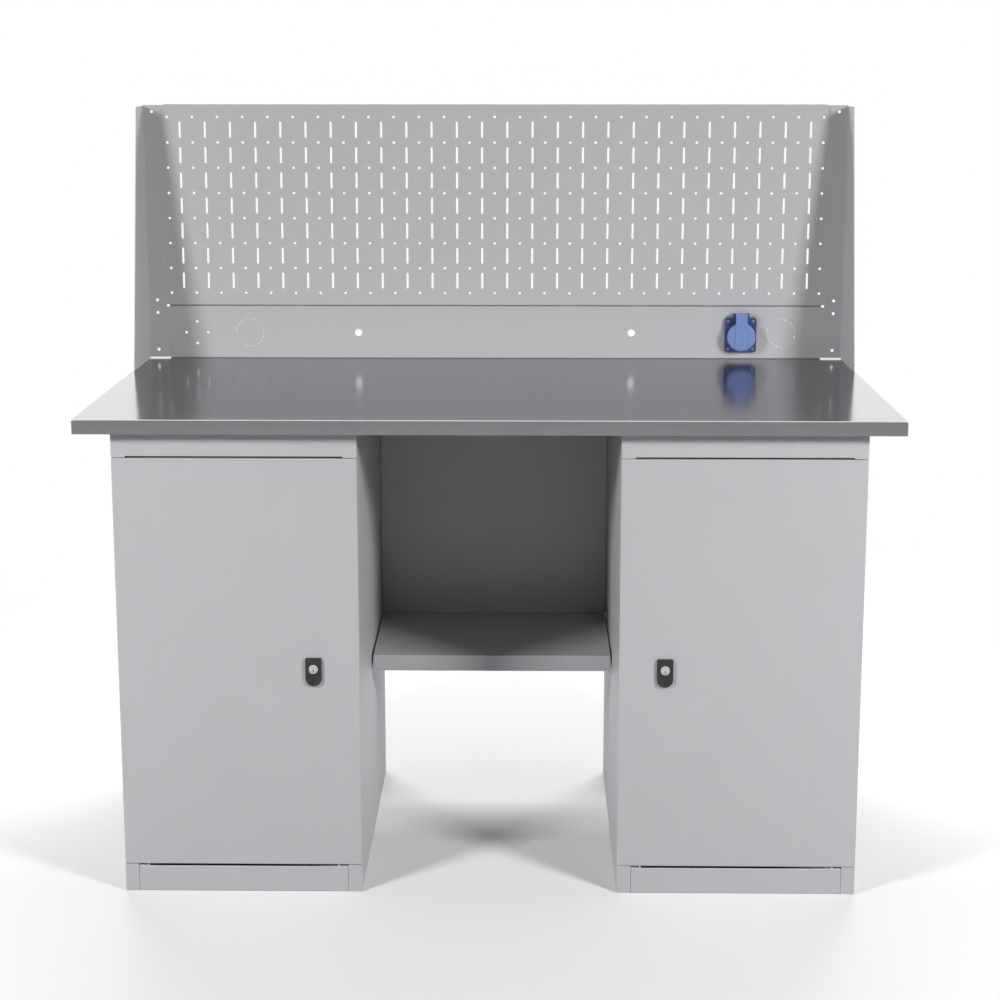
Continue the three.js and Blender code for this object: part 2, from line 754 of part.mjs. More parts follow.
// A rectangle with round corners
function roundedRectangle(x, z, width, height, radius) {
  const corner = [width / 2 - radius, height / 2 - radius];
  const shape = new THREE.Shape();
  [[1, 1], [-1, 1], [-1, -1], [1, -1]].forEach(([a, b], quarter) => {
    const from = (quarter * Math.PI) / 2;
    shape.absarc(x + a * corner[0], z + b * corner[1], radius, from, from + Math.PI / 2);
  });
  return shape;
}

const socketRing = (radius, span) => drill('xz', [socketX, socketZ], radius, span, sidesFine);
const lugInside = knuckleWidth / 2 + 2 * fitGap;

// The socket's housing: flange plate, collar, cup, rear body and the two lugs of the lid's hinge
function socketHousing() {
  const plate = roundedRectangle(socketX, socketZ, flangePlateWidth, flangePlateHeight, flangeCorner);
  const collarSpan = [collarFrontY, plateFrontY + cutPast];
  const collar = drill('xz', [socketX, lidZ], collarOuter, collarSpan, sidesFine);
  const plateTop = socketZ + flangePlateHeight / 2;
  const lugs = [-1, 1].map((side) => box(
    [socketX + side * lugInside, socketX + side * (lugInside + lugWidth)],
    [lidPinY - knuckleRadius, screenY - fitGap],
    [plateTop - flangeCorner, plateTop + lugRise],
  ));
  const pinSpan = [socketX - flangePlateWidth / 2, socketX + flangePlateWidth / 2];
  const body = prism('xz', plate, [plateFrontY, screenY]);
  return [collar, ...lugs].reduce((whole, piece) => whole.add(piece), body)
    .add(socketRing(rearRadius, [screenY - cutPast, screenY + rearDepth]))
    .subtract(socketRing(cupRadius, [collarFrontY - cutPast, cupBottomY]))
    .subtract(drill('yz', [lidPinY, lidPinZ], lidPinHole, pinSpan, sidesTurned));
}

// The contact insert at the bottom of the cup, with its two pin holes
function socketInsert() {
  const face = polygon(ring(socketX, socketZ, cupRadius - fitGap, sidesFine));
  face.holes = [-1, 1].map((side) => new THREE.Path(
    points(ring(socketX + (side * insertPinPitch) / 2, socketZ, insertPinRadius, sidesTurned))));
  return prism('xz', face, [cupBottomY - insertThick, cupBottomY]);
}

// The hinged lid: a shallow cap with a raised band that runs up into the hinge knuckle
function socketLid() {
  const bandX = [socketX - lidBandWidth / 2, socketX + lidBandWidth / 2];
  const neckX = [socketX - knuckleWidth / 2, socketX + knuckleWidth / 2];
  const bandY = [lidFrontY - lidBandProud, lidFrontY + lidWall];
  const capRing = (radius, span) => drill('xz', [socketX, lidZ], radius, span, sidesFine);
  const pinSpan = [neckX[0] - cutPast, neckX[1] + cutPast];
  const bandHalf = Math.sqrt(lidRadius ** 2 - (lidBandWidth / 2) ** 2);
  const neckTop = lidPinZ + knuckleRadius;
  return capRing(lidRadius, [lidFrontY, lidBackY])
    .subtract(capRing(lidRadius - lidWall, [lidFrontY + lidWall, lidBackY + cutPast]))
    .add(box(bandX, bandY, [lidZ - bandHalf, lidZ + bandHalf]))
    .add(box(neckX, [lidFrontY - lidBandProud, lidBackY], [lidZ + lidRadius - lidWall, neckTop]))
    .add(box(neckX, [lidFrontY, lidPinY], [lidPinZ - knuckleRadius, neckTop]))
    .add(prism('yz', ring(lidPinY, lidPinZ, knuckleRadius, sidesTurned), neckX))
    .subtract(drill('yz', [lidPinY, lidPinZ], lidPinHole, pinSpan, sidesTurned));
}

function lidPin() {
  const reach = lugInside + lugWidth;
  return prism('yz', ring(lidPinY, lidPinZ, lidPinRadius, sidesTurned), [socketX - reach, socketX + reach]);
}

add('worktop_cover', worktopCover(), worktopSteel);
add('worktop_core', worktopCore(), board);

for (const [name, side] of [['left', -1], ['right', 1]]) {
  add(`side_outer_${name}`, sidePanel(side, true), greyPaint);
  add(`side_inner_${name}`, sidePanel(side, false), greyPaint);
  add(`back_panel_${name}`, backPanel(side), greyPaint);
  add(`floor_pan_${name}`, floorPan(side), greyPaint);
  add(`top_panel_${name}`, topPanel(side), greyPaint);
  add(`top_rail_${name}`, topRail(side), greyPaint);
  add(`plinth_${name}`, plinth(side), greyPaint);
  add(`cabinet_shelf_${name}`, cabinetShelf(side), greyPaint);
  add(`shelf_runner_outer_${name}`, shelfRunner(side, true), greyPaint);
  add(`shelf_runner_inner_${name}`, shelfRunner(side, false), greyPaint);
  add(`door_${name}`, doorSkin(side), greyPaint);
  add(`door_stiffener_${name}`, doorStiffener(side), greyPaint);
  add(`hinge_pin_top_${name}`, hingePinTop(side), zincSteel);
  add(`hinge_pin_bottom_${name}`, hingePinBottom(side), zincSteel);
  add(`lock_plate_${name}`, lockPlate(side), blackPlastic);
  add(`lock_nut_${name}`, lockNut(side), zincSteel);
  add(`lock_cylinder_${name}`, lockCylinder(side), brightMetal);
  add(`lock_cam_${name}`, lockCam(side), zincSteel);
  add(`bracket_${name}`, bracket(side), greyPaint);
  for (const [end, y] of Object.entries(kneeBoltYs)) {
    const x = wall(side, false);
    const shape = bolt('yz', [y, kneeBoltZ], x(cabSheet), x(-kneeBoltProud));
    add(`shelf_bolt_${name}_${end}`, shape, zincSteel);
  }
  for (const [end, y] of Object.entries(topBoltYs)) {
    const place = [side * (innerX + pedWidth / 2), y];
    const shape = bolt('xy', place, pedTop - cabSheet, pedTop + topBoltBite);
    add(`worktop_bolt_${name}_${end}`, shape, zincSteel);
  }
  const railPlace = [side * railBoltX, railBoltY];
  const railBolt = bolt('xy', railPlace, benchHeight + screenSheet, benchHeight - topSheet - topBoltBite);
  add(`rail_bolt_${name}`, railBolt, zincSteel);
  const screwPlace = [side * modestyScrewX, modestyY + modestyDepth / 2];
  const modestyScrew = bolt('xy', screwPlace, pedTop - cabSheet, pedTop + topBoltBite);
  add(`modesty_screw_${name}`, modestyScrew, zincSteel);
}

add('modesty_panel', modestyPanel(), greyPaint);
add('knee_shelf', kneeShelf(), greyPaint);
add('perforated_panel', perforatedPanel(), greyPaint);
add('socket_rail', socketRail(), greyPaint);
add('socket_housing', socketHousing(), darkBlue);
add('socket_insert', socketInsert(), bluePlastic);
add('socket_lid', socketLid(), lightBlue);
add('socket_lid_pin', lidPin(), zincSteel);

export default bench;
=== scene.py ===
"""Steel workbench with cupboard pedestals: finishes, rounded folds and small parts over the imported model."""

import json
import math

import bmesh
import bpy
from bpy.props import FloatProperty, FloatVectorProperty, IntProperty, PointerProperty
from mathutils import Matrix, Vector

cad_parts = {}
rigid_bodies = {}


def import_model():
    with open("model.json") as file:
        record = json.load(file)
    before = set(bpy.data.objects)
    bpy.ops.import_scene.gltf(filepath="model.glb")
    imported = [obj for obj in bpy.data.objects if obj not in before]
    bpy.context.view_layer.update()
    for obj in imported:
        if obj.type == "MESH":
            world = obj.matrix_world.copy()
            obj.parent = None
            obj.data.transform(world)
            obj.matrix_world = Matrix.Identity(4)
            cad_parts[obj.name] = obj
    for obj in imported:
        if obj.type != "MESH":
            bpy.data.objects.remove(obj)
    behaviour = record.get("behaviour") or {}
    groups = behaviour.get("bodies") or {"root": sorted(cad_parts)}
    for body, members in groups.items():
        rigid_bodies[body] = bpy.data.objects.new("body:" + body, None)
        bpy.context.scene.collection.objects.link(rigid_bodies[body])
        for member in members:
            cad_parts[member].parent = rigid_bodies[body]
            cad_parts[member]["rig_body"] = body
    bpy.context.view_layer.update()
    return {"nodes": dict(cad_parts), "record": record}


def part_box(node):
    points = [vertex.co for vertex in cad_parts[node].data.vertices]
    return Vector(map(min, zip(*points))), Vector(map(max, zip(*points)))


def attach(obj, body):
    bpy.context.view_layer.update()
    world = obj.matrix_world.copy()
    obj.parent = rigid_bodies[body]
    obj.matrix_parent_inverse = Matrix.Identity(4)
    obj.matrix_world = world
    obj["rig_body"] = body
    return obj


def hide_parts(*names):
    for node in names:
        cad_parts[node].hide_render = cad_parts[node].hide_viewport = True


bl_info = {
    "name": "Workbench with Cabinet Doors",
    "version": (1, 0, 0),
    "blender": (4, 5, 0),
    "location": "View3D > Sidebar > Workbench",
    "description": "Dresses a steel workbench with its paint, metal, plastic and punched sheet",
    "category": "Object",
}

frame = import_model()

SIDES = {"left": -1, "right": 1}
BOTH = (-1, 1)

MM = 0.001
MERGE = 1e-5  # corners closer than this are one corner
SPECK = 2e-6  # edges shorter than this are dissolved
FLAT = math.radians(0.5)  # faces that turn less than this are one face
CREASE = math.radians(35)  # edges that turn more than this may be rounded
SHARP = math.radians(40)  # edges that turn more than this are shaded as edges
STRIP = 3.2 * MM  # faces narrower than this are a sheet's cut edge


# Properties

TINT = {"subtype": "COLOR", "min": 0, "max": 1}
SHARE = {"subtype": "FACTOR", "min": 0, "max": 1}


class BenchFinishes(bpy.types.PropertyGroup):
    """Colours and gloss of the bench"""

    paint: FloatVectorProperty(
        name="Paint", description="Light grey powder coat", default=(0.502, 0.496, 0.511), **TINT)
    paint_roughness: FloatProperty(
        name="Paint Roughness", description="Gloss of the powder coat", default=0.46, **SHARE)
    steel: FloatVectorProperty(
        name="Worktop Steel", description="Zinc-coated sheet over the worktop",
        default=(0.520, 0.514, 0.535), **TINT)
    steel_roughness: FloatProperty(
        name="Worktop Roughness", description="Gloss of the worktop's sheet", default=0.145, **SHARE)
    housing: FloatVectorProperty(
        name="Socket Housing", description="Dark blue plastic", default=(0.048, 0.085, 0.240), **TINT)
    lid: FloatVectorProperty(
        name="Socket Lid", description="Lighter blue plastic", default=(0.176, 0.259, 0.530), **TINT)
    lock_plate: FloatVectorProperty(
        name="Lock Plate", description="Black plastic", default=(0.018, 0.017, 0.020), **TINT)


class BenchSizes(bpy.types.PropertyGroup):
    """Sizes that the solids leave plain"""

    fold: FloatProperty(
        name="Fold Radius", description="Outside radius of the cupboards' folds",
        default=1.6 * MM, unit="LENGTH")
    worktop_fold: FloatProperty(
        name="Worktop Fold Radius", description="Outside radius of the worktop's folds",
        default=2.2 * MM, unit="LENGTH")
    bend: FloatProperty(
        name="Bend Radius", description="Outside radius of the tool screen's bends",
        default=2.6 * MM, unit="LENGTH")
    pitch: FloatProperty(
        name="Pitch", description="Grid of the perforation", default=50 * MM, unit="LENGTH")
    slot_columns: IntProperty(name="Slot Columns", description="Slots in a row", default=26)
    slot_rows: IntProperty(name="Slot Rows", description="Rows of slots", default=7)
    slot_length: FloatProperty(
        name="Slot Length", description="Length of a slot", default=32 * MM, unit="LENGTH")
    slot_width: FloatProperty(
        name="Slot Width", description="Width of a slot", default=4 * MM, unit="LENGTH")
    hole_radius: FloatProperty(
        name="Hole Radius", description="Radius of the round holes", default=2.6 * MM, unit="LENGTH")


class BenchStudio(bpy.types.PropertyGroup):
    """Camera, lamps and floor"""

    camera_place: FloatVectorProperty(
        name="Camera", description="Place of the camera",
        default=(0.0585, -3.4548, 1.4399), subtype="TRANSLATION")
    camera_pitch: FloatProperty(
        name="Pitch", description="How far the camera looks down", default=0.1768, subtype="ANGLE")
    camera_yaw: FloatProperty(
        name="Yaw", description="How far the camera looks to the right", default=-0.0127, subtype="ANGLE")
    camera_shift: FloatProperty(name="Shift", description="Vertical shift of the lens", default=-0.1)
    lens: FloatProperty(name="Lens", description="Focal length in millimetres", default=68.14)
    lamp_power: FloatProperty(
        name="Lamps", description="Mean power of the front lamps", default=51, unit="POWER")
    lamp_balance: FloatProperty(
        name="Balance", description="Share by which the right lamp is stronger and the left one weaker",
        default=0.06)
    rear_power: FloatProperty(
        name="Rear Lamp", description="Power of the lamp behind", default=120, unit="POWER")
    fill: FloatProperty(name="Fill", description="Light from all round the room", default=0.015)
    front_mirrored: FloatProperty(
        name="Front Mirrored", description="Brightness of the camera's side of the room in reflections",
        default=0.35)
    rear_mirrored: FloatProperty(
        name="Rear Mirrored", description="Brightness of the far side of the room in reflections",
        default=1.6)
    floor: FloatVectorProperty(name="Floor", description="Pale floor", default=(0.86, 0.86, 0.865), **TINT)
    floor_bounce: FloatVectorProperty(
        name="Floor Bounce", description="Colour with which the floor lights the bench",
        default=(0.57, 0.575, 0.60), **TINT)
    floor_lift: FloatProperty(
        name="Floor Lift", description="Brightness that the camera adds to the floor", default=0.055)
    floor_mirrored: FloatProperty(
        name="Floor Mirrored", description="Brightness of the floor in reflections", default=0.3)


# Nodes

COLOUR = "NodeSocketColor"
NUMBER = "NodeSocketFloat"
VECTOR = "NodeSocketVector"
WHOLE = "NodeSocketInt"
MATERIAL = "NodeSocketMaterial"
GEOMETRY = "NodeSocketGeometry"

NOISE_RANGE = (0.25, 0.75)  # where most of a noise's values lie
MIX_UNDER, MIX_OVER, MIX_RESULT = 6, 7, 2  # places of the Mix node's colour sockets


class Graph:
    """Nodes of one tree, added and joined by name"""

    def __init__(self, tree):
        self.tree = tree

    def add(self, kind, **settings):
        node = self.tree.nodes.new(kind)
        for name, value in settings.items():
            setattr(node, name, value)
        return node

    def join(self, source, target):
        self.tree.links.new(source, target)

    def feed(self, socket, value):
        """Joins another node's output to a socket, or sets the socket's own value"""
        if isinstance(value, bpy.types.NodeSocket):
            self.join(value, socket)
        else:
            socket.default_value = value

    def fill(self, node, **inputs):
        """Feeds a node's inputs by their names, with _ for a space"""
        for label, value in inputs.items():
            self.feed(node.inputs[label.replace("_", " ")], value)
        return node

    def call(self, kind, settings=None, **inputs):
        """The first output of a new node"""
        return self.fill(self.add(kind, **(settings or {})), **inputs).outputs[0]

    def group(self, tree, **inputs):
        """The outputs of a node group placed in this tree"""
        return self.fill(self.add("ShaderNodeGroup", node_tree=tree), **inputs).outputs

    def math(self, operation, a, b):
        node = self.add("ShaderNodeMath", operation=operation)
        self.feed(node.inputs[0], a)
        self.feed(node.inputs[1], b)
        return node.outputs[0]

    def plus(self, a, b):
        return self.math("ADD", a, b)

    def minus(self, a, b):
        return self.math("SUBTRACT", a, b)

    def times(self, a, b):
        return self.math("MULTIPLY", a, b)

    def most(self, a, b):
        return self.math("MAXIMUM", a, b)

    def part(self, vector, axis):
        """One of a vector's three parts"""
        parts = self.add("ShaderNodeSeparateXYZ")
        self.join(vector, parts.inputs[0])
        return parts.outputs[axis]

    def upward(self):
        """How far the surface faces up, from -1 to 1"""
        return self.part(self.add("ShaderNodeNewGeometry").outputs["Normal"], "Z")

    def place(self, stretch=None):
        """Object coordinates, stretched along the axes"""
        where = self.add("ShaderNodeTexCoord").outputs["Object"]
        return self.call("ShaderNodeMapping", Vector=where, Scale=stretch) if stretch else where

    def noise(self, where, scale, detail=2.0, roughness=0.5):
        return self.call("ShaderNodeTexNoise", Vector=where, Scale=scale, Detail=detail, Roughness=roughness)

    def carried(self, value, source, target, **settings):
        """A value carried from one range to another"""
        return self.call("ShaderNodeMapRange", settings, Value=value, From_Min=source[0],
                         From_Max=source[1], To_Min=target[0], To_Max=target[1])

    def spread(self, noise, middle, swing):
        """A noise carried to middle plus or minus swing"""
        return self.carried(noise, NOISE_RANGE, (self.minus(middle, swing), self.plus(middle, swing)))

    def tint(self, colour, factor):
        """The colour made lighter or darker by a factor around 1"""
        return self.call("ShaderNodeVectorMath", {"operation": "SCALE"}, Vector=colour, Scale=factor)

    def mix(self, mask, under, over):
        """One colour over another, as far as the mask says"""
        node = self.add("ShaderNodeMix", data_type="RGBA")
        self.feed(node.inputs["Factor"], mask)
        self.feed(node.inputs[MIX_UNDER], under)
        self.feed(node.inputs[MIX_OVER], over)
        return node.outputs[MIX_RESULT]

    def bump(self, height, strength, depth):
        return self.call("ShaderNodeBump", Height=height, Strength=strength, Distance=depth)


# Finishes

GROUP_OUTPUTS = {"Color": COLOUR, "Roughness": NUMBER, "Normal": VECTOR}
MID_GREY = (0.5, 0.5, 0.5, 1)
DUST = (0.62, 0.60, 0.57, 1)
DARK_CHIP = (0.25, 0.16, 0.085, 1)
PALE_CHIP = (0.52, 0.39, 0.25, 1)
BOARD_FILM = (0.150, 0.150, 0.156, 1)
FILM_COVER = 0.94  # how far the film hides the chips
UNDERSIDE = -0.5  # faces that look down further than this have the film
WORN_LIFT = 1.22  # how much lighter the coat is where it is rubbed
INSERT_SHADE = 0.6  # the socket's insert against its housing


def rgba(colour):
    return (*colour, 1)


def shader_group(name, build, **inputs):
    """A shader node group with named inputs and what its build function puts out, made once"""
    if name in bpy.data.node_groups:
        return bpy.data.node_groups[name]
    tree = bpy.data.node_groups.new(name, "ShaderNodeTree")
    for label, value in inputs.items():
        kind = COLOUR if isinstance(value, tuple) else NUMBER
        tree.interface.new_socket(label, in_out="INPUT", socket_type=kind).default_value = value
    graph = Graph(tree)
    results = build(graph, graph.add("NodeGroupInput").outputs)
    for label in results:
        tree.interface.new_socket(label, in_out="OUTPUT", socket_type=GROUP_OUTPUTS[label])
    graph.fill(graph.add("NodeGroupOutput"), **results)
    return tree


def orange_peel():
    """Powder-coated skin: fine ripple, faint mottling, uneven gloss"""
    def build(graph, entry):
        where = graph.place()
        ripple = graph.noise(where, scale=620, detail=1.5)
        cloud = graph.noise(where, scale=5.5, detail=4, roughness=0.6)
        speck = graph.noise(where, scale=1900, detail=1)
        mottle = graph.spread(cloud, 1.0, entry["Mottle"])
        specks = graph.spread(speck, 0.0, graph.times(entry["Mottle"], 0.6))
        return {
            "Color": graph.tint(entry["Color"], graph.plus(mottle, specks)),
            "Roughness": graph.spread(cloud, entry["Roughness"], 0.035),
            "Normal": graph.bump(ripple, entry["Peel"], depth=0.04 * MM),
        }
    return shader_group("orange_peel", build, Color=MID_GREY, Roughness=0.45, Mottle=0.012, Peel=0.5)


def fold_wear():
    """Coat drawn thin and rubbed on the folds, where the meshes mark them"""
    def build(graph, entry):
        fold = graph.add("ShaderNodeAttribute", attribute_name="fold").outputs["Fac"]
        rubbed = graph.noise(graph.place(), scale=46, detail=3, roughness=0.65)
        patches = graph.spread(rubbed, middle=0.6, swing=0.4)
        mask = graph.times(graph.times(fold, patches), entry["Amount"])
        return {"Color": graph.mix(mask, entry["Color"], entry["Worn"])}
    return shader_group("fold_wear", build, Color=MID_GREY, Worn=(0.7, 0.7, 0.7, 1), Amount=0.3)


def settled_dust():
    """A thin film of dust on what faces up"""
    def build(graph, entry):
        drift = graph.noise(graph.place(), scale=9, detail=6, roughness=0.7)
        patches = graph.spread(drift, middle=0.5, swing=0.5)
        mask = graph.times(graph.times(graph.most(graph.upward(), 0.0), patches), entry["Amount"])
        return {
            "Color": graph.mix(mask, entry["Color"], DUST),
            "Roughness": graph.plus(entry["Roughness"], mask),
        }
    return shader_group("settled_dust", build, Color=MID_GREY, Roughness=0.4, Amount=0.05)


def rolled_metal():
    """Fine lines of rolled or turned metal along X, with uneven gloss and faint blotches"""
    def build(graph, entry):
        lines = graph.noise(graph.place((9, 1400, 1400)), scale=1.0, detail=3, roughness=0.6)
        blotch = graph.noise(graph.place(), scale=16, detail=5, roughness=0.65)
        streaks = graph.spread(lines, 1.0, graph.times(entry["Lines"], 0.10))
        gloss = graph.spread(lines, entry["Roughness"], 0.015)
        return {
            "Color": graph.tint(entry["Color"], graph.plus(streaks, graph.spread(blotch, 0.0, 0.025))),
            "Roughness": graph.plus(gloss, graph.spread(blotch, 0.0, 0.015)),
            "Normal": graph.bump(lines, entry["Lines"], depth=0.004 * MM),
        }
    return shader_group("rolled_metal", build, Color=(0.6, 0.6, 0.6, 1), Roughness=0.25, Lines=0.3)


def moulded_grain():
    """Fine eroded texture of moulded plastic"""
    def build(graph, entry):
        where = graph.place()
        grain = graph.noise(where, scale=2600, detail=2)
        flow = graph.noise(where, scale=70, detail=3)
        return {
            "Color": graph.tint(entry["Color"], graph.spread(flow, 1.0, 0.05)),
            "Roughness": graph.spread(grain, entry["Roughness"], 0.05),
            "Normal": graph.bump(grain, entry["Grain"], depth=0.01 * MM),
        }
    return shader_group("moulded_grain", build, Color=(0.1, 0.1, 0.1, 1), Roughness=0.4, Grain=0.4)


def new_material(name):
    """A new material's graph, its Principled shader and the material"""
    material = bpy.data.materials.new(name)
    material.use_nodes = True
    nodes = material.node_tree.nodes
    return Graph(material.node_tree), nodes["Principled BSDF"], material


def paint_material(name, colour, roughness):
    """Powder coat: orange peel, thin folds and a trace of dust"""
    graph, shader, material = new_material(name)
    worn = rgba(min(1, WORN_LIFT * part) for part in colour)
    coat = graph.group(orange_peel(), Color=rgba(colour), Roughness=roughness)
    folds = graph.group(fold_wear(), Color=coat["Color"], Worn=worn, Amount=0.45)
    dust = graph.group(settled_dust(), Color=folds["Color"], Roughness=coat["Roughness"], Amount=0.05)
    graph.fill(shader, Base_Color=dust["Color"], Roughness=dust["Roughness"], Normal=coat["Normal"],
               Specular_IOR_Level=0.4)
    return material


def metal_material(name, colour, roughness, lines, edge=1.0):
    """Plated or rolled metal; edge is its brightness at grazing angles"""
    graph, shader, material = new_material(name)
    skin = graph.group(rolled_metal(), Color=rgba(colour), Roughness=roughness, Lines=lines)
    graph.fill(shader, Base_Color=skin["Color"], Roughness=skin["Roughness"], Normal=skin["Normal"],
               Metallic=1.0, Specular_Tint=(edge, edge, edge, 1))
    return material


def plastic_material(name, colour, roughness, grain):
    """Moulded plastic"""
    graph, shader, material = new_material(name)
    skin = graph.group(moulded_grain(), Color=rgba(colour), Roughness=roughness, Grain=grain)
    graph.fill(shader, Base_Color=skin["Color"], Roughness=skin["Roughness"], Normal=skin["Normal"])
    return material


def board_material(name):
    """Pressed board with fine chips, faced with a grey film underneath"""
    graph, shader, material = new_material(name)
    chips = graph.fill(graph.add("ShaderNodeTexVoronoi"), Vector=graph.place((260, 420, 700)), Scale=1.0)
    ramp = graph.fill(graph.add("ShaderNodeValToRGB"), Fac=chips.outputs["Color"])
    for stop, colour in zip(ramp.color_ramp.elements, (DARK_CHIP, PALE_CHIP)):
        stop.color = colour
    film = graph.times(graph.math("LESS_THAN", graph.upward(), UNDERSIDE), FILM_COVER)
    graph.fill(shader, Base_Color=graph.mix(film, ramp.outputs["Color"], BOARD_FILM), Roughness=0.8,
               Normal=graph.bump(chips.outputs["Distance"], strength=0.4, depth=0.3 * MM))
    return material


def finish(slot):
    """The material for one of the record's slots, made once"""
    name = f"bench_{slot}"
    if name in bpy.data.materials:
        return bpy.data.materials[name]
    looks = bpy.context.scene.bench_finishes
    insert = [INSERT_SHADE * part for part in looks.housing]
    makers = {
        "grey_paint": lambda: paint_material(name, looks.paint, looks.paint_roughness),
        "worktop_steel": lambda: metal_material(
            name, looks.steel, looks.steel_roughness, lines=0.25, edge=0.7),
        "board": lambda: board_material(name),
        "black_plastic": lambda: plastic_material(name, looks.lock_plate, roughness=0.38, grain=0.35),
        "bright_metal": lambda: metal_material(name, (0.62, 0.61, 0.62), roughness=0.24, lines=0.25),
        "zinc_steel": lambda: metal_material(name, (0.50, 0.51, 0.53), roughness=0.36, lines=0.4),
        "dark_blue": lambda: plastic_material(name, looks.housing, roughness=0.36, grain=0.3),
        "light_blue": lambda: plastic_material(name, looks.lid, roughness=0.34, grain=0.25),
        "blue_insert": lambda: plastic_material(name, insert, roughness=0.45, grain=0.4),
    }
    return makers[slot]()


# Meshes

def link(name, data):
    obj = bpy.data.objects.new(name, data)
    bpy.context.scene.collection.objects.link(obj)
    return obj


def evaluated(obj):
    """The object's mesh with its modifiers, the object being removed"""
    graph = bpy.context.evaluated_depsgraph_get()
    mesh = bpy.data.meshes.new_from_object(obj.evaluated_get(graph))
    bpy.data.objects.remove(obj)
    return mesh


def plain(bm):
    """The bmesh as a mesh"""
    mesh = bpy.data.meshes.new("made")
    bm.to_mesh(mesh)
    bm.free()
    return mesh


def made(build, *sizes, **more):
    """A mesh made by a function that fills a bmesh"""
    bm = bmesh.new()
    build(bm, *sizes, **more)
    return plain(bm)


def shaded(bm):
    """The bmesh as a mesh with clean shading of its flat faces and curves"""
    bmesh.ops.dissolve_degenerate(bm, dist=SPECK, edges=bm.edges)
    bm.normal_update()
    for face in bm.faces:
        face.smooth = True
    for edge in bm.edges:
        edge.smooth = edge.is_manifold and edge.calc_face_angle(0) < SHARP
    obj = link("shaded", plain(bm))
    obj.modifiers.new("Weighted Normal", "WEIGHTED_NORMAL").keep_sharp = True
    return evaluated(obj)


def joined(*meshes):
    """Several meshes as one, cleanly shaded"""
    bm = bmesh.new()
    for mesh in meshes:
        bm.from_mesh(mesh)
    return shaded(bm)


def welded(mesh):
    """The mesh with doubled corners merged, cleanly shaded"""
    bm = bmesh.new()
    bm.from_mesh(mesh)
    bmesh.ops.remove_doubles(bm, verts=bm.verts, dist=MERGE)
    return shaded(bm)


def cut(mesh, *cutters):
    """The mesh less the cutters"""
    obj = link("cut", mesh)
    tools = [link("cutter", cutter) for cutter in cutters]
    for tool in tools:
        boolean = obj.modifiers.new("Cut", "BOOLEAN")
        boolean.operation = "DIFFERENCE"
        boolean.solver = "EXACT"
        boolean.object = tool
    result = evaluated(obj)
    for tool in tools:
        bpy.data.objects.remove(tool)
    return result


def put(name, mesh, body, slot):
    """The mesh as a finished piece that rides on a body"""
    mesh.materials.clear()
    mesh.materials.append(finish(slot))
    mesh.name = name
    piece = link(name, mesh)
    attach(piece, body)
    return piece


def body_of(node):
    return frame["nodes"][node]["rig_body"]


def dress(node, mesh):
    """The mesh as the finished piece that stands for a node"""
    slot = next(s["material_slot"] for s in frame["record"]["subparts"] if s["node"] == node)
    piece = put(f"{node}_skin", mesh, body_of(node), slot)
    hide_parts(node)
    return piece


def middle_of(node):
    low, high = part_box(node)
    return (low + high) / 2


def solid_copy(node):
    """A node's solid as a bmesh with shared corners and whole faces"""
    bm = bmesh.new()
    bm.from_mesh(frame["nodes"][node].data)
    bmesh.ops.remove_doubles(bm, verts=bm.verts, dist=MERGE)
    bmesh.ops.dissolve_limit(
        bm, angle_limit=FLAT, use_dissolve_boundaries=False, verts=bm.verts, edges=bm.edges)
    bmesh.ops.recalc_face_normals(bm, faces=bm.faces)
    return bm


def bevel(bm, edges, radius, segments, slide=False):
    """Rounds the edges and gives the new faces"""
    return bmesh.ops.bevel(
        bm, geom=edges, offset=radius, offset_type="OFFSET", segments=segments, profile=0.5,
        affect="EDGES", clamp_overlap=True, loop_slide=slide)["faces"]


def round_edges(bm, radius, segments, wanted=lambda edge: True):
    """Rounds the wanted outer edges and marks the new faces as folds"""
    bm.faces.layers.float.new("fold")
    edges = [e for e in bm.edges if e.is_manifold and e.calc_face_angle_signed(0) > CREASE and wanted(e)]
    folds = bevel(bm, edges, radius, segments, slide=True) if edges else []
    mark = bm.faces.layers.float["fold"]
    for face in folds:
        face[mark] = 1.0


def between_wide_faces(edge):
    return all(2 * face.calc_area() / face.calc_perimeter() > STRIP for face in edge.link_faces)


def folded(node, radius, segments=3):
    """A folded sheet with its folds rounded and its cut edges left square"""
    bm = solid_copy(node)
    round_edges(bm, radius, segments, between_wide_faces)
    return dress(node, shaded(bm))


def softened(node, radius, segments=2):
    """A solid with every outer edge softened"""
    bm = solid_copy(node)
    round_edges(bm, radius, segments)
    return dress(node, shaded(bm))


# Shapes

def arc(a, b, radius, start, end, steps):
    """Points on an arc, with the angles in degrees"""
    turns = [math.radians(start + (end - start) * i / steps) for i in range(steps + 1)]
    return [(a + radius * math.cos(t), b + radius * math.sin(t)) for t in turns]


def circle(a, b, radius, steps):
    return arc(a, b, radius, 0, 360, steps)[:-1]


def rounded_rectangle(a, b, width, height, radius, steps):
    corners = [(1, 1, 0), (-1, 1, 90), (-1, -1, 180), (1, -1, 270)]
    return [point for sa, sb, start in corners for point in arc(
        a + sa * (width / 2 - radius), b + sb * (height / 2 - radius), radius, start, start + 90, steps)]


def extrude(bm, outline, start, end, plane="xz"):
    """A prism from an outline in a plane, between two places on the remaining axis"""
    def corner(a, b, depth):
        return {"xz": (a, depth, b), "yz": (depth, a, b), "xy": (a, b, depth)}[plane]
    near = [bm.verts.new(corner(a, b, start)) for a, b in outline]
    far = [bm.verts.new(corner(a, b, end)) for a, b in outline]
    faces = [bm.faces.new(near), bm.faces.new(far[::-1])]
    for i in range(len(outline)):
        j = (i + 1) % len(outline)
        faces.append(bm.faces.new((near[j], near[i], far[i], far[j])))
    bmesh.ops.recalc_face_normals(bm, faces=faces)


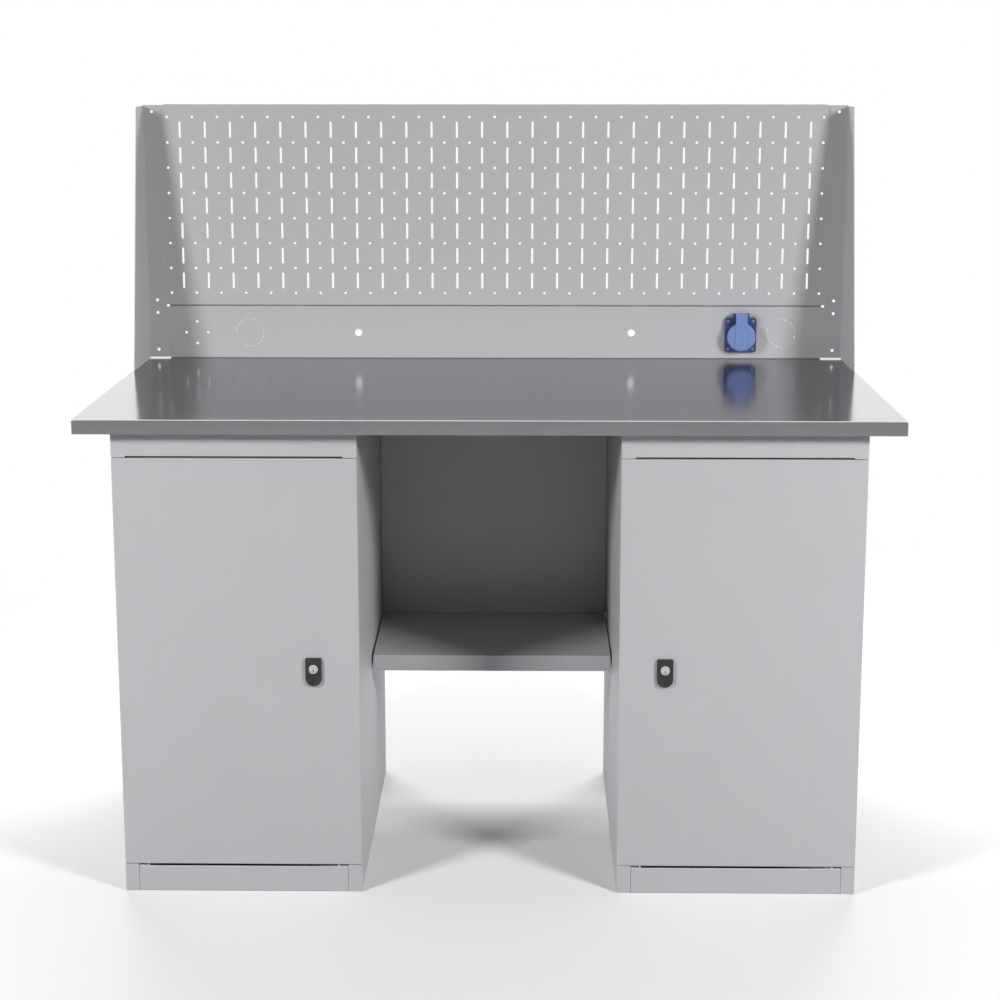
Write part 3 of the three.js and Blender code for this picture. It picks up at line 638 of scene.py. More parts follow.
def faced_plate(bm, outline, front, back, radius, segments):
    """A plate with its front edges rounded"""
    extrude(bm, outline, front, back)
    edges = [e for e in bm.edges if all(abs(v.co.y - front) < MERGE for v in e.verts)]
    bevel(bm, edges, radius, segments)


def block(bm, low, high, radius, segments=2):
    """A box with rounded edges"""
    verts = bmesh.ops.create_cube(bm, size=1)["verts"]
    middle = (Vector(low) + Vector(high)) / 2
    size = Vector(high) - Vector(low)
    bmesh.ops.transform(bm, matrix=Matrix.Translation(middle) @ Matrix.Diagonal((*size, 1)), verts=verts)
    bevel(bm, list({e for v in verts for e in v.link_edges}), radius, segments)


def along_y(x, z):
    """Where a turned shape's axis runs along Y"""
    return Matrix.Translation((x, 0, z)) @ Matrix.Rotation(-math.pi / 2, 4, "X")


def along_x(place):
    """Where a turned shape's axis runs along X through a place"""
    return Matrix.Translation(place) @ Matrix.Rotation(math.pi / 2, 4, "Y")


def lathe(bm, profile, steps, axis):
    """A turned shape: radius and height pairs about Z, closed on the axis or on itself, then placed"""
    rings = {}
    for radius, height in profile:
        spokes = circle(0, 0, radius, steps) if radius > 0 else [(0, 0)]
        if (radius, height) not in rings:
            rings[radius, height] = [bm.verts.new(axis @ Vector((a, b, height))) for a, b in spokes]
    faces = []
    for start, end in zip(profile, profile[1:]):
        low, high = rings[start], rings[end]
        if len(low) == len(high) == 1:
            continue
        for i in range(steps):
            j = (i + 1) % steps
            corners = [low[i % len(low)], low[j % len(low)], high[j % len(high)], high[i % len(high)]]
            faces.append(bm.faces.new(list(dict.fromkeys(corners))))
    bmesh.ops.recalc_face_normals(bm, faces=faces)


def rod(radius, start, end, steps, axis):
    """A plain round rod"""
    return made(lathe, [(0, start), (radius, start), (radius, end), (0, end)], steps, axis)


def chamfered_rod(bm, radius, half, chamfer, steps, axis):
    """A round rod with chamfered ends, half to each side of its place"""
    lathe(bm, [(0, -half), (radius - chamfer, -half), (radius, -half + chamfer),
               (radius, half - chamfer), (radius - chamfer, half), (0, half)], steps, axis)


def bent_border(bm, half, front, edge, depth, sheet, radius, up):
    """A sheet's border bent back in a round fold along X; up is 1 for a top border, -1 for a bottom one"""
    def turn(reach):
        return arc(front + radius, edge - up * radius, reach, 180, 180 - 90 * up, 6)
    lip = [(front + depth, edge), (front + depth, edge - up * sheet)]
    extrude(bm, turn(radius) + lip + turn(radius - sheet)[::-1], -half, half, "yz")


# Geometry nodes

STANDING = (math.pi / 2, 0, 0)  # turns a shape that lies flat to face the front
SLOT_ROUNDING = 0.4995  # share of a slot's width, just under a half
WASHER = 0.28  # share of a bolt head's height
CROWN = 0.2  # share of the hexagon's height
CROWN_TIP, CROWN_BASE = 0.76, 0.86  # shares of the washer's radius
HEXAGON = 0.93  # share of the washer's radius
SCREW_HEAD = 0.6  # share of a screw's radius
CROSS_LENGTH, CROSS_WIDTH, CROSS_DEPTH = 1.3, 0.28, 0.5  # shares of a screw's radius


class Nodes(Graph):
    """Geometry nodes"""

    def vector(self, **parts):
        return self.call("ShaderNodeCombineXYZ", **parts)

    def move(self, geometry, **how):
        return self.call("GeometryNodeTransform", Geometry=geometry, **how)

    def lift(self, geometry, height):
        return self.move(geometry, Translation=self.vector(Z=height))

    def repeat(self, points, shape, **how):
        return self.call("GeometryNodeInstanceOnPoints", Points=points, Instance=shape, **how)

    def real(self, instances):
        return self.call("GeometryNodeRealizeInstances", Geometry=instances)

    def merge(self, *geometries):
        node = self.add("GeometryNodeJoinGeometry")
        for geometry in geometries:
            self.join(geometry, node.inputs[0])
        return node.outputs[0]


def node_tree(name, build, **inputs):
    """A geometry node tree with named inputs, made once"""
    if name in bpy.data.node_groups:
        return bpy.data.node_groups[name]
    tree = bpy.data.node_groups.new(name, "GeometryNodeTree")
    for label, kind in {"Geometry": GEOMETRY, **inputs, "Material": MATERIAL}.items():
        tree.interface.new_socket(label.replace("_", " "), in_out="INPUT", socket_type=kind)
    tree.interface.new_socket("Geometry", in_out="OUTPUT", socket_type=GEOMETRY)
    nodes = Nodes(tree)
    entry = nodes.add("NodeGroupInput").outputs
    result = nodes.real(build(nodes, entry))
    painted = nodes.call("GeometryNodeSetMaterial", Geometry=result, Material=entry["Material"])
    nodes.join(painted, nodes.add("NodeGroupOutput").inputs[0])
    return tree


def grow(tree, mesh, **values):
    """What the tree makes of the mesh, as a plain mesh"""
    obj = link("grow", mesh)
    modifier = obj.modifiers.new("Nodes", "NODES")
    modifier.node_group = tree
    sockets = {item.name: item.identifier for item in tree.interface.items_tree
               if item.item_type == "SOCKET" and item.in_out == "INPUT"}
    for label, value in values.items():
        modifier[sockets[label.replace("_", " ")]] = value
    return evaluated(obj)


def punched_sheet():
    """A flat sheet from closed outlines, with a grid of slots and a grid of round holes through it"""
    def build(nodes, entry):
        pitch, thickness = entry["Pitch"], entry["Thickness"]

        def pattern(shape, columns, rows):
            grid = nodes.call(
                "GeometryNodeMeshGrid", Size_X=nodes.times(nodes.minus(columns, 1), pitch),
                Size_Y=nodes.times(nodes.minus(rows, 1), pitch), Vertices_X=columns, Vertices_Y=rows)
            return nodes.real(nodes.repeat(nodes.move(grid, Translation=entry["Middle"]), shape))

        box = nodes.call("GeometryNodeCurvePrimitiveQuadrilateral", Width=entry["Slot Width"],
                         Height=entry["Slot Length"])
        slot = nodes.call("GeometryNodeFilletCurve", {"mode": "POLY"}, Curve=box, Count=5,
                          Radius=nodes.times(entry["Slot Width"], SLOT_ROUNDING))
        hole = nodes.call("GeometryNodeCurvePrimitiveCircle", Resolution=14, Radius=entry["Hole Radius"])
        outlines = nodes.call("GeometryNodeMeshToCurve", Mesh=entry["Geometry"])
        every = nodes.merge(outlines, pattern(slot, entry["Slot Columns"], entry["Slot Rows"]),
                            pattern(hole, entry["Hole Columns"], entry["Hole Rows"]))
        face = nodes.call("GeometryNodeFillCurve", {"mode": "TRIANGLES"}, Curve=every)
        back = nodes.lift(face, nodes.times(thickness, -1.0))
        front = nodes.call("GeometryNodeExtrudeMesh", {"mode": "FACES"}, Mesh=back,
                           Offset=nodes.vector(Z=thickness), Offset_Scale=1.0, Individual=False)
        closed = nodes.merge(front, nodes.call("GeometryNodeFlipFaces", Mesh=back))
        sheet = nodes.call("GeometryNodeMergeByDistance", Geometry=closed, Distance=MERGE)
        return nodes.move(sheet, Translation=entry["Place"], Rotation=STANDING)
    return node_tree(
        "punched_sheet", build, Slot_Columns=WHOLE, Slot_Rows=WHOLE, Hole_Columns=WHOLE, Hole_Rows=WHOLE,
        Pitch=NUMBER, Slot_Length=NUMBER, Slot_Width=NUMBER, Hole_Radius=NUMBER, Thickness=NUMBER,
        Middle=VECTOR, Place=VECTOR)


def hexagon_bolts():
    """Hexagon bolts with washers on points, their shanks along an axis"""
    def build(nodes, entry):
        radius, height = entry["Head Radius"], entry["Head Height"]

        def drum(sides, reach, depth, start):
            shape = nodes.call("GeometryNodeMeshCylinder", Vertices=sides, Radius=reach, Depth=depth)
            return nodes.lift(shape, nodes.plus(start, nodes.times(depth, 0.5)))

        washer = nodes.times(height, WASHER)
        hexagon = nodes.minus(height, washer)
        body = nodes.times(hexagon, 1 - CROWN)
        crown = nodes.call("GeometryNodeMeshCone", Vertices=24, Radius_Bottom=nodes.times(radius, CROWN_TIP),
                           Radius_Top=nodes.times(radius, CROWN_BASE), Depth=nodes.times(hexagon, CROWN))
        bolt = nodes.merge(
            drum(24, radius, washer, nodes.times(washer, -1.0)),
            drum(6, nodes.times(radius, HEXAGON), body, nodes.times(nodes.plus(washer, body), -1.0)),
            nodes.lift(crown, nodes.times(height, -1.0)),
            drum(16, entry["Shank Radius"], entry["Shank Length"], 0.0))
        aim = nodes.call("FunctionNodeAlignRotationToVector", {"axis": "Z"}, Vector=entry["Axis"])
        return nodes.repeat(entry["Geometry"], bolt, Rotation=aim)
    return node_tree("hexagon_bolts", build, Head_Radius=NUMBER, Head_Height=NUMBER, Shank_Radius=NUMBER,
                     Shank_Length=NUMBER, Axis=VECTOR)


def cross_screws():
    """Countersunk cross-head screws on points, facing the front"""
    def build(nodes, entry):
        radius = entry["Head Radius"]

        def bar(across, up):
            sides = {"X": across, "Y": up, "Z": CROSS_DEPTH}
            size = nodes.vector(**{axis: nodes.times(radius, side) for axis, side in sides.items()})
            shape = nodes.call("GeometryNodeMeshCube", Size=size)
            return nodes.lift(shape, nodes.times(radius, SCREW_HEAD / 2))

        head = nodes.call("GeometryNodeMeshCylinder", Vertices=20, Radius=radius,
                          Depth=nodes.times(radius, SCREW_HEAD))
        cross = nodes.add("GeometryNodeMeshBoolean", operation="DIFFERENCE")
        nodes.join(head, cross.inputs["Mesh 1"])
        for shape in (bar(CROSS_LENGTH, CROSS_WIDTH), bar(CROSS_WIDTH, CROSS_LENGTH)):
            nodes.join(shape, cross.inputs["Mesh 2"])
        return nodes.repeat(entry["Geometry"], nodes.move(cross.outputs[0], Rotation=STANDING))
    return node_tree("cross_screws", build, Head_Radius=NUMBER)


def points_mesh(places):
    mesh = bpy.data.meshes.new("points")
    mesh.from_pydata([tuple(place) for place in places], [], [])
    return mesh


def outlines_mesh(loops):
    """Closed outlines in a plane as edges"""
    corners, edges = [], []
    for loop in loops:
        start = len(corners)
        corners += [(a, b, 0) for a, b in loop]
        edges += [(start + i, start + (i + 1) % len(loop)) for i in range(len(loop))]
    mesh = bpy.data.meshes.new("outlines")
    mesh.from_pydata(corners, edges, [])
    return mesh


def sheet_from(loops, front, thickness, perforated=False):
    """A punched sheet standing on its outlines, with its front face at a given Y"""
    sizes = bpy.context.scene.bench_sizes
    grids = int(perforated)
    return grow(
        punched_sheet(), outlines_mesh(loops),
        Slot_Columns=sizes.slot_columns * grids, Slot_Rows=sizes.slot_rows * grids,
        Hole_Columns=(sizes.slot_columns + 1) * grids, Hole_Rows=(sizes.slot_rows + 1) * grids,
        Pitch=sizes.pitch, Slot_Length=sizes.slot_length, Slot_Width=sizes.slot_width,
        Hole_Radius=sizes.hole_radius, Thickness=thickness, Place=(0, front, 0),
        Middle=(0, middle_of("perforated_panel").z, 0), Material=finish("grey_paint"))


# Pieces

class BENCH_OT_studio(bpy.types.Operator):
    """Camera, soft lamps, white room and pale floor"""

    bl_idname = "bench.studio"
    bl_label = "Studio"

    SENSOR_WIDTH = 36  # millimetres
    CLIP_END = 100
    FRONT_LAMP = (2.5, -2.3, 2.1)  # the right one, which the left one mirrors
    FRONT_AIM = (0, -0.1, -0.9)
    FRONT_SIZE = (0.7, 0.7)
    FRONT_SPREAD = math.radians(140)
    REAR_LAMP = (0, 1.9, 2.9)
    REAR_AIM = (0, 0.9, 0)
    REAR_SIZE = (3.4, 1.2)
    ROOM_RANGE = (-0.35, 0.35)  # from the front's level in reflections to the far side's
    ROOM_RISE = 0.6  # how far a look upwards counts as one to the far side
    FLOOR_REACH = 9
    FLOOR_DROP = 0.4 * MM
    FLOOR_FADE = (0.9, 2.3)  # distances between which the floor turns white

    def execute(self, context):
        studio = context.scene.bench_studio
        context.scene.view_settings.view_transform = "Standard"
        self.camera(context, studio)
        self.lamps(studio)
        self.room(context, studio)
        self.floor(studio)
        return {"FINISHED"}

    def camera(self, context, studio):
        data = bpy.data.cameras.new("camera")
        data.lens = studio.lens
        data.sensor_width = self.SENSOR_WIDTH
        data.shift_y = studio.camera_shift
        data.clip_end = self.CLIP_END
        camera = link("camera", data)
        camera.location = studio.camera_place
        camera.rotation_euler = (math.pi / 2 - studio.camera_pitch, 0, -studio.camera_yaw)
        context.scene.camera = camera

    def lamps(self, studio):
        """Two soft lamps at the front corners and a wide one behind, over the floor"""
        x, y, z = self.FRONT_LAMP
        for side in BOTH:
            power = studio.lamp_power * (1 + side * studio.lamp_balance)
            front = self.lamp((x * side, y, z), self.FRONT_AIM, self.FRONT_SIZE, power)
            front.data.spread = self.FRONT_SPREAD
        rear = self.lamp(self.REAR_LAMP, self.REAR_AIM, self.REAR_SIZE, studio.rear_power)
        rear.visible_glossy = False

    def lamp(self, place, target, size, power):
        data = bpy.data.lights.new("soft_lamp", "AREA")
        data.shape = "RECTANGLE"
        data.size, data.size_y = size
        data.energy = power
        lamp = link("soft_lamp", data)
        lamp.location = place
        aim = Vector(target) - lamp.location
        lamp.rotation_euler = aim.to_track_quat("-Z", "Y").to_euler()
        return lamp

    def room(self, context, studio):
        """A world that is white to the camera, graded in reflections and faint as light"""
        world = bpy.data.worlds.new("white_room")
        world.use_nodes = True
        world.node_tree.nodes.clear()
        context.scene.world = world
        graph = Graph(world.node_tree)
        look = graph.add("ShaderNodeTexCoord").outputs["Generated"]
        depth = graph.plus(graph.part(look, "Y"), graph.times(graph.part(look, "Z"), self.ROOM_RISE))
        grade = graph.carried(depth, self.ROOM_RANGE, (studio.front_mirrored, studio.rear_mirrored))
        rays = graph.add("ShaderNodeLightPath").outputs
        seen = graph.most(rays["Is Camera Ray"], rays["Is Transmission Ray"])
        shown = graph.most(seen, graph.times(rays["Is Glossy Ray"], grade))
        level = graph.most(shown, studio.fill)
        light = graph.call("ShaderNodeBackground", Color=(1, 1, 1, 1), Strength=level)
        graph.join(light, graph.add("ShaderNodeOutputWorld").inputs[0])

    def floor(self, studio):
        """A pale floor that keeps the bench's shadow and turns white with distance"""
        mesh = made(bmesh.ops.create_grid, x_segments=2, y_segments=2, size=self.FLOOR_REACH)
        mesh.transform(Matrix.Translation((0, 0, -self.FLOOR_DROP)))
        graph, shader, material = new_material("floor")
        rays = graph.add("ShaderNodeLightPath").outputs
        seen, mirrored = rays["Is Camera Ray"], rays["Is Glossy Ray"]
        colour = graph.mix(seen, rgba(studio.floor_bounce), rgba(studio.floor))
        graph.fill(shader, Base_Color=colour, Roughness=0.9, Specular_IOR_Level=0.1)
        lift = graph.plus(graph.times(seen, studio.floor_lift), graph.times(mirrored, studio.floor_mirrored))
        lit = graph.add("ShaderNodeAddShader")
        graph.join(shader.outputs[0], lit.inputs[0])
        graph.join(graph.call("ShaderNodeEmission", Strength=lift), lit.inputs[1])
        distance = graph.add("ShaderNodeVectorMath", operation="LENGTH")
        graph.join(graph.place(), distance.inputs[0])
        fade = graph.carried(distance.outputs["Value"], self.FLOOR_FADE, (0.0, 1.0),
                             interpolation_type="SMOOTHSTEP")
        mixed = graph.fill(graph.add("ShaderNodeMixShader"), Fac=graph.times(fade, seen))
        graph.join(lit.outputs[0], mixed.inputs[1])
        graph.join(graph.call("ShaderNodeEmission"), mixed.inputs[2])
        graph.join(mixed.outputs[0], material.node_tree.nodes["Material Output"].inputs["Surface"])
        mesh.materials.append(material)
        link("floor", mesh)


class BENCH_OT_worktop(bpy.types.Operator):
    """Steel cover with rounded folds over the board core"""

    bl_idname = "bench.worktop"
    bl_label = "Worktop"

    CORE_EDGE = 0.5 * MM

    def execute(self, context):
        folded("worktop_cover", context.scene.bench_sizes.worktop_fold, segments=4)
        softened("worktop_core", self.CORE_EDGE)
        return {"FINISHED"}


class BENCH_OT_pedestals(bpy.types.Operator):
    """Walls, backs, floors, tops, rails, plinths and inner shelves of both pedestals"""

    bl_idname = "bench.pedestals"
    bl_label = "Pedestals"

    SHEETS = ("side_outer", "side_inner", "floor_pan", "top_panel", "top_rail", "plinth", "cabinet_shelf",
              "shelf_runner_outer", "shelf_runner_inner", "back_panel")

    def execute(self, context):
        for side in SIDES:
            for sheet in self.SHEETS:
                folded(f"{sheet}_{side}", context.scene.bench_sizes.fold)
        return {"FINISHED"}


class BENCH_OT_doors(bpy.types.Operator):
    """Door trays with their stiffeners and pivot pins"""

    bl_idname = "bench.doors"
    bl_label = "Doors"

    def execute(self, context):
        radius = context.scene.bench_sizes.fold
        for side in SIDES:
            folded(f"door_{side}", radius)
            folded(f"door_stiffener_{side}", radius)
            for end in ("top", "bottom"):
                self.pin(f"hinge_pin_{end}_{side}")
        return {"FINISHED"}

    def pin(self, node):
        """The node's pivot pin, turned round again from the heights of its steps"""
        low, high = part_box(node)
        middle = middle_of(node)
        steps = {}
        for vertex in frame["nodes"][node].data.vertices:
            radius = round((vertex.co - middle).to_2d().length, 4)
            steps.setdefault(round(vertex.co.z, 6), set()).add(radius)
        profile = [(0, low.z)]
        for height in sorted(steps):
            radii = sorted(radius for radius in steps[height] if radius > 0)
            if radii[-1:] == [profile[-1][0]]:
                radii.reverse()
            profile += [(radius, height) for radius in radii]
        profile.append((0, high.z))
        bm = bmesh.new()
        lathe(bm, profile, steps=20, axis=Matrix.Translation((middle.x, middle.y, 0)))
        dress(node, shaded(bm))


class BENCH_OT_locks(bpy.types.Operator):
    """Black lock plates, bright cylinders with key slots, nuts and cams"""

    bl_idname = "bench.locks"
    bl_label = "Locks"

    PLATE_CORNER = 2.5 * MM
    PLATE_EDGE = 1.1 * MM
    DISH_BALL = 20 * MM
    DISH_DEPTH = 2.4 * MM
    DISH_DROP = 18.5 * MM  # below the cylinder's axis
    BORE = 9.3 * MM
    BORE_PAST = 20 * MM  # how far the bore's cutter reaches past the plate
    BARREL_INSIDE, BARREL_OUTSIDE = 8.55 * MM, 11 * MM
    THREAD_ROOT = 10.4 * MM
    THREAD_PITCH = 1.25 * MM
    EDGE, RIM, GROOVE, PLUG = 8.2 * MM, 7.4 * MM, 6.4 * MM, 5.6 * MM  # radii of the cylinder's face
    PLUG_SUNK, GROOVE_SUNK = 0.9 * MM, 1.8 * MM
    FACE_CHAMFER = 0.3 * MM
    STEM, STEM_CHAMFER = 3 * MM, 0.4 * MM
    SLOT = (1.1 * MM, 4.3 * MM)  # half of the key slot's width and height
    SLOT_FRONT, SLOT_BACK = -2 * MM, 6 * MM
    SLOT_EDGE = 0.2 * MM
    CAM_EDGE = 0.3 * MM
    NUT_EDGE = 0.5 * MM

    def execute(self, context):
        for side in SIDES:
            middle = middle_of(f"lock_cylinder_{side}")
            self.plate(side, middle.x, middle.z)
            self.cylinder(side, middle.x, middle.z)
            self.cam(side, middle.x, middle.z)
            softened(f"lock_nut_{side}", self.NUT_EDGE)
        return {"FINISHED"}

    def plate(self, side, x, z):
        """The plate with its finger dish, and the barrel behind it"""
        node = f"lock_plate_{side}"
        low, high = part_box(node)
        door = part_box(f"door_{side}")[0].y
        half, corner = (high.x - low.x) / 2, self.PLATE_CORNER
        outline = (arc(x + half - corner, high.z - corner, corner, 0, 90, 5)
                   + arc(x - half + corner, high.z - corner, corner, 90, 180, 5)
                   + arc(x, low.z + half, half, 180, 360, 24))
        body = made(faced_plate, outline, low.y, door, self.PLATE_EDGE, segments=3)
        ball = Matrix.Translation((0, 0, low.y + self.DISH_DEPTH - self.DISH_BALL))
        dish = made(bmesh.ops.create_uvsphere, u_segments=40, v_segments=24, radius=self.DISH_BALL,
                    matrix=along_y(x, z - self.DISH_DROP) @ ball)
        axis = along_y(x, z)
        bore = rod(self.BORE, low.y - self.BORE_PAST, door + self.BORE_PAST, steps=40, axis=axis)
        barrel = made(lathe, self.barrel(door, high.y), steps=32, axis=axis)
        dress(node, joined(cut(body, dish, bore), barrel))

    def barrel(self, start, end):
        """The threaded barrel's profile"""
        profile = [(self.BARREL_INSIDE, start), (self.BARREL_OUTSIDE, start)]
        place = start + self.THREAD_PITCH
        while place < end - self.THREAD_PITCH:
            profile += [(self.BARREL_OUTSIDE, place), (self.THREAD_ROOT, place + self.THREAD_PITCH / 2)]
            place += self.THREAD_PITCH
        return profile + [(self.THREAD_ROOT, end), (self.BARREL_INSIDE, end), (self.BARREL_INSIDE, start)]

    def cylinder(self, side, x, z):
        """The key cylinder: a rim, a ring groove, a sunk plug with its slot, and the stem for the cam"""
        node = f"lock_cylinder_{side}"
        low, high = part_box(node)
        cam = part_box(f"lock_cam_{side}")[0].y
        front, chamfer = low.y, self.FACE_CHAMFER
        face, sunk = front + self.PLUG_SUNK, front + self.GROOVE_SUNK
        profile = [
            (0, face), (self.PLUG - chamfer, face), (self.PLUG, face + chamfer), (self.PLUG, sunk),
            (self.GROOVE, sunk), (self.GROOVE, front + chamfer), (self.GROOVE + chamfer, front),
            (self.RIM, front), (self.EDGE, face), (self.EDGE, cam), (self.STEM, cam),
            (self.STEM, high.y - self.STEM_CHAMFER), (self.STEM - self.STEM_CHAMFER, high.y), (0, high.y),
        ]
        half_width, half_height = self.SLOT
        slot = made(block, (x - half_width, front + self.SLOT_FRONT, z - half_height),
                    (x + half_width, front + self.SLOT_BACK, z + half_height), self.SLOT_EDGE)
        body = made(lathe, profile, steps=48, axis=along_y(x, z))
        dress(node, welded(cut(body, slot)))

    def cam(self, side, x, z):
        node = f"lock_cam_{side}"
        low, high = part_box(node)
        half = (high.x - low.x) / 2
        bm = bmesh.new()
        extrude(bm, arc(x, z, half, 0, 180, 16) + arc(x, low.z + half, half, 180, 360, 16), low.y, high.y)
        round_edges(bm, self.CAM_EDGE, segments=2)
        dress(node, shaded(bm))


class BENCH_OT_knee_space(bpy.types.Operator):
    """Back panel and shelf between the pedestals"""

    bl_idname = "bench.knee_space"
    bl_label = "Knee Space"

    END_GAP = 1.8 * MM  # dark line at each end of the shelf's front half

    def execute(self, context):
        radius = context.scene.bench_sizes.fold
        folded("modesty_panel", radius)
        shelf = folded("knee_shelf", radius)
        end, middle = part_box("knee_shelf")[1].x, middle_of("knee_shelf")
        for vertex in shelf.data.vertices:
            if vertex.co.y < middle.y:
                vertex.co.x *= 1 - self.END_GAP / end
        return {"FINISHED"}


class BENCH_OT_screen(bpy.types.Operator):
    """Perforated panel, socket rail and side brackets of the tool screen"""

    bl_idname = "bench.screen"
    bl_label = "Tool Screen"

    SHEET = 1.5 * MM
    EDGE_HOLE = 3 * MM
    EDGE_HOLE_X = 679.5 * MM
    PANEL_HOLES = (967.9 * MM, 1342.9 * MM)
    RAIL_HOLES = (867.5 * MM, 942.3 * MM)
    BEND_END = 656 * MM  # the bent borders stop here, and the flat sheet goes on
    NOTCH = 1.6 * MM
    FOOT_NOTCH = 2.4 * MM
    FOOT_RISE = 0.8 * MM  # of the brackets above the rail's foot
    CUTOUT_Z = 902 * MM
    RAIL_LEDGE = 20 * MM
    HOOK_HOLE, HOOK_HOLE_X = 7.25 * MM, 275 * MM
    GLAND_X, GLAND_RING, GLAND_HOLE = -601 * MM, 22 * MM, 2.6 * MM
    KNOCKOUTS = (-494 * MM, 576 * MM)
    SLIT_RING, SLIT_HALF, SLIT_HOLE = 28 * MM, 0.22 * MM, 1.3 * MM
    SLIT_START, SLIT_TURN = 73, 78  # degrees
    SOCKET_HOLE = 24 * MM
    FLANGE = 36 * MM
    BRACKET_TOP = 60 * MM

    def execute(self, context):
        radius = context.scene.bench_sizes.bend
        self.panel(radius)
        self.rail(radius)
        for side, way in SIDES.items():
            self.bracket(f"bracket_{side}", way, radius)
        return {"FINISHED"}

    def edge_holes(self, heights, sides=BOTH):
        return [circle(side * self.EDGE_HOLE_X, z, self.EDGE_HOLE, 16) for z in heights for side in sides]

    def outline(self, low, high, bottom_notch, radius):
        """The flat part of a sheet between its two bends"""
        end, bend = high.x, self.BEND_END
        bottom, top = low.z + bottom_notch, high.z - self.NOTCH
        right = [(bend, low.z + radius), (bend, bottom), (end, bottom), (end, top), (bend, top),
                 (bend, high.z - radius)]
        return right + [(-x, z) for x, z in right[::-1]]

    def borders(self, bm, low, high, radius, top_depth):
        """The bent top and bottom borders of a sheet"""
        bent_border(bm, self.BEND_END, low.y, high.z, top_depth, self.SHEET, radius, 1)
        bent_border(bm, self.BEND_END, low.y, low.z, high.y - low.y, self.SHEET, radius, -1)

    def panel(self, radius):
        node = "perforated_panel"
        low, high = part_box(node)
        loops = [self.outline(low, high, self.NOTCH, radius), *self.edge_holes(self.PANEL_HOLES)]
        sheet = sheet_from(loops, low.y, self.SHEET, perforated=True)
        dress(node, joined(sheet, made(self.borders, low, high, radius, high.y - low.y)))

    def rail(self, radius):
        node = "socket_rail"
        low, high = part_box(node)
        socket = middle_of("socket_insert")
        gland = circle(self.GLAND_X, self.CUTOUT_Z, self.GLAND_RING, 4)
        loops = [
            self.outline(low, high, self.FOOT_NOTCH, radius),
            *self.edge_holes(self.RAIL_HOLES),
            *[circle(side * self.HOOK_HOLE_X, self.CUTOUT_Z, self.HOOK_HOLE, 28) for side in BOTH],
            *[circle(x, z, self.GLAND_HOLE, 16) for x, z in gland],
            *[slit for x in self.KNOCKOUTS for slit in self.knockout(x)],
            circle(socket.x, socket.z, self.SOCKET_HOLE, 40),
        ]
        sheet = sheet_from(loops, low.y, self.SHEET)
        dress(node, joined(sheet, made(self.borders, low, high, radius, self.RAIL_LEDGE)))

    def knockout(self, x):
        """Four slits with bridges between them, each from the round hole where its cut began"""
        z, ring, half, hole = self.CUTOUT_Z, self.SLIT_RING, self.SLIT_HALF, self.SLIT_HOLE
        mouth = math.degrees(math.asin(half / hole))
        lead = math.degrees(math.sqrt(hole ** 2 - half ** 2) / ring)
        slits = []
        for quarter in range(4):
            start = self.SLIT_START + 90 * quarter
            end = start + self.SLIT_TURN
            hole_x, hole_z = arc(x, z, ring, start, end, 1)[0]
            outer = arc(x, z, ring + half, start + lead, end, 14)
            inner = arc(x, z, ring - half, end, start + lead, 14)
            rim = arc(hole_x, hole_z, hole, start + 90 + mouth, start + 450 - mouth, 12)
            slits.append(outer + inner + rim[1:-1])
        return slits

    def bracket(self, node, way, radius):
        """The flange with its holes, and the tapered side that carries it"""
        low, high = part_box(node)
        outside = way * max(abs(low.x), abs(high.x))
        inside = outside - way * self.SHEET
        shoulder = outside - way * radius
        end = inside - way * self.FLANGE
        foot = low.z - self.FOOT_RISE + self.FOOT_NOTCH
        loops = [[(shoulder, foot), (shoulder, high.z), (end, high.z), (end, foot)],
                 *self.edge_holes(self.RAIL_HOLES + self.PANEL_HOLES, (way,))]
        flange = sheet_from(loops, high.y - self.SHEET, self.SHEET)
        bend = high.y - radius
        side = [(bend, low.z), (bend, high.z), (high.y - self.BRACKET_TOP, high.z), (low.y, low.z)]
        turn = arc(0, 0, radius, 0, 90, 6) + arc(0, 0, radius - self.SHEET, 90, 0, 6)
        fold = [(shoulder + way * a, bend + b) for a, b in turn]
        dress(node, joined(flange, made(extrude, side, inside, outside, "yz"),
                           made(extrude, fold, foot, high.z, "xy")))


class BENCH_OT_bolts(bpy.types.Operator):
    """Hexagon bolts that hold the worktop, the shelf, the back panel and the rail"""

    bl_idname = "bench.bolts"
    bl_label = "Bolts"

    HEAD_HEIGHT, HEAD_RADIUS, SHANK_RADIUS = 5 * MM, 7.5 * MM, 4 * MM

    def execute(self, context):
        for side, way in SIDES.items():
            for end in ("front", "rear"):
                self.bolt(f"worktop_bolt_{side}_{end}", (0, 0, 1))
            self.bolt(f"modesty_screw_{side}", (0, 0, 1))
            self.bolt(f"rail_bolt_{side}", (0, 0, -1))
            for end in ("front", "rear"):
                self.bolt(f"shelf_bolt_{side}_{end}", (-way, 0, 0))
        return {"FINISHED"}

    def bolt(self, node, axis):
        """A node's bolt, its head at the start of the axis"""
        low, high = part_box(node)
        length = abs((high - low).dot(Vector(axis)))
        seat = middle_of(node) + Vector(axis) * (self.HEAD_HEIGHT - length / 2)
        mesh = grow(hexagon_bolts(), points_mesh([seat]), Head_Radius=self.HEAD_RADIUS,
                    Head_Height=self.HEAD_HEIGHT, Shank_Radius=self.SHANK_RADIUS,
                    Shank_Length=length - self.HEAD_HEIGHT, Axis=axis, Material=finish("zinc_steel"))
        dress(node, welded(mesh))


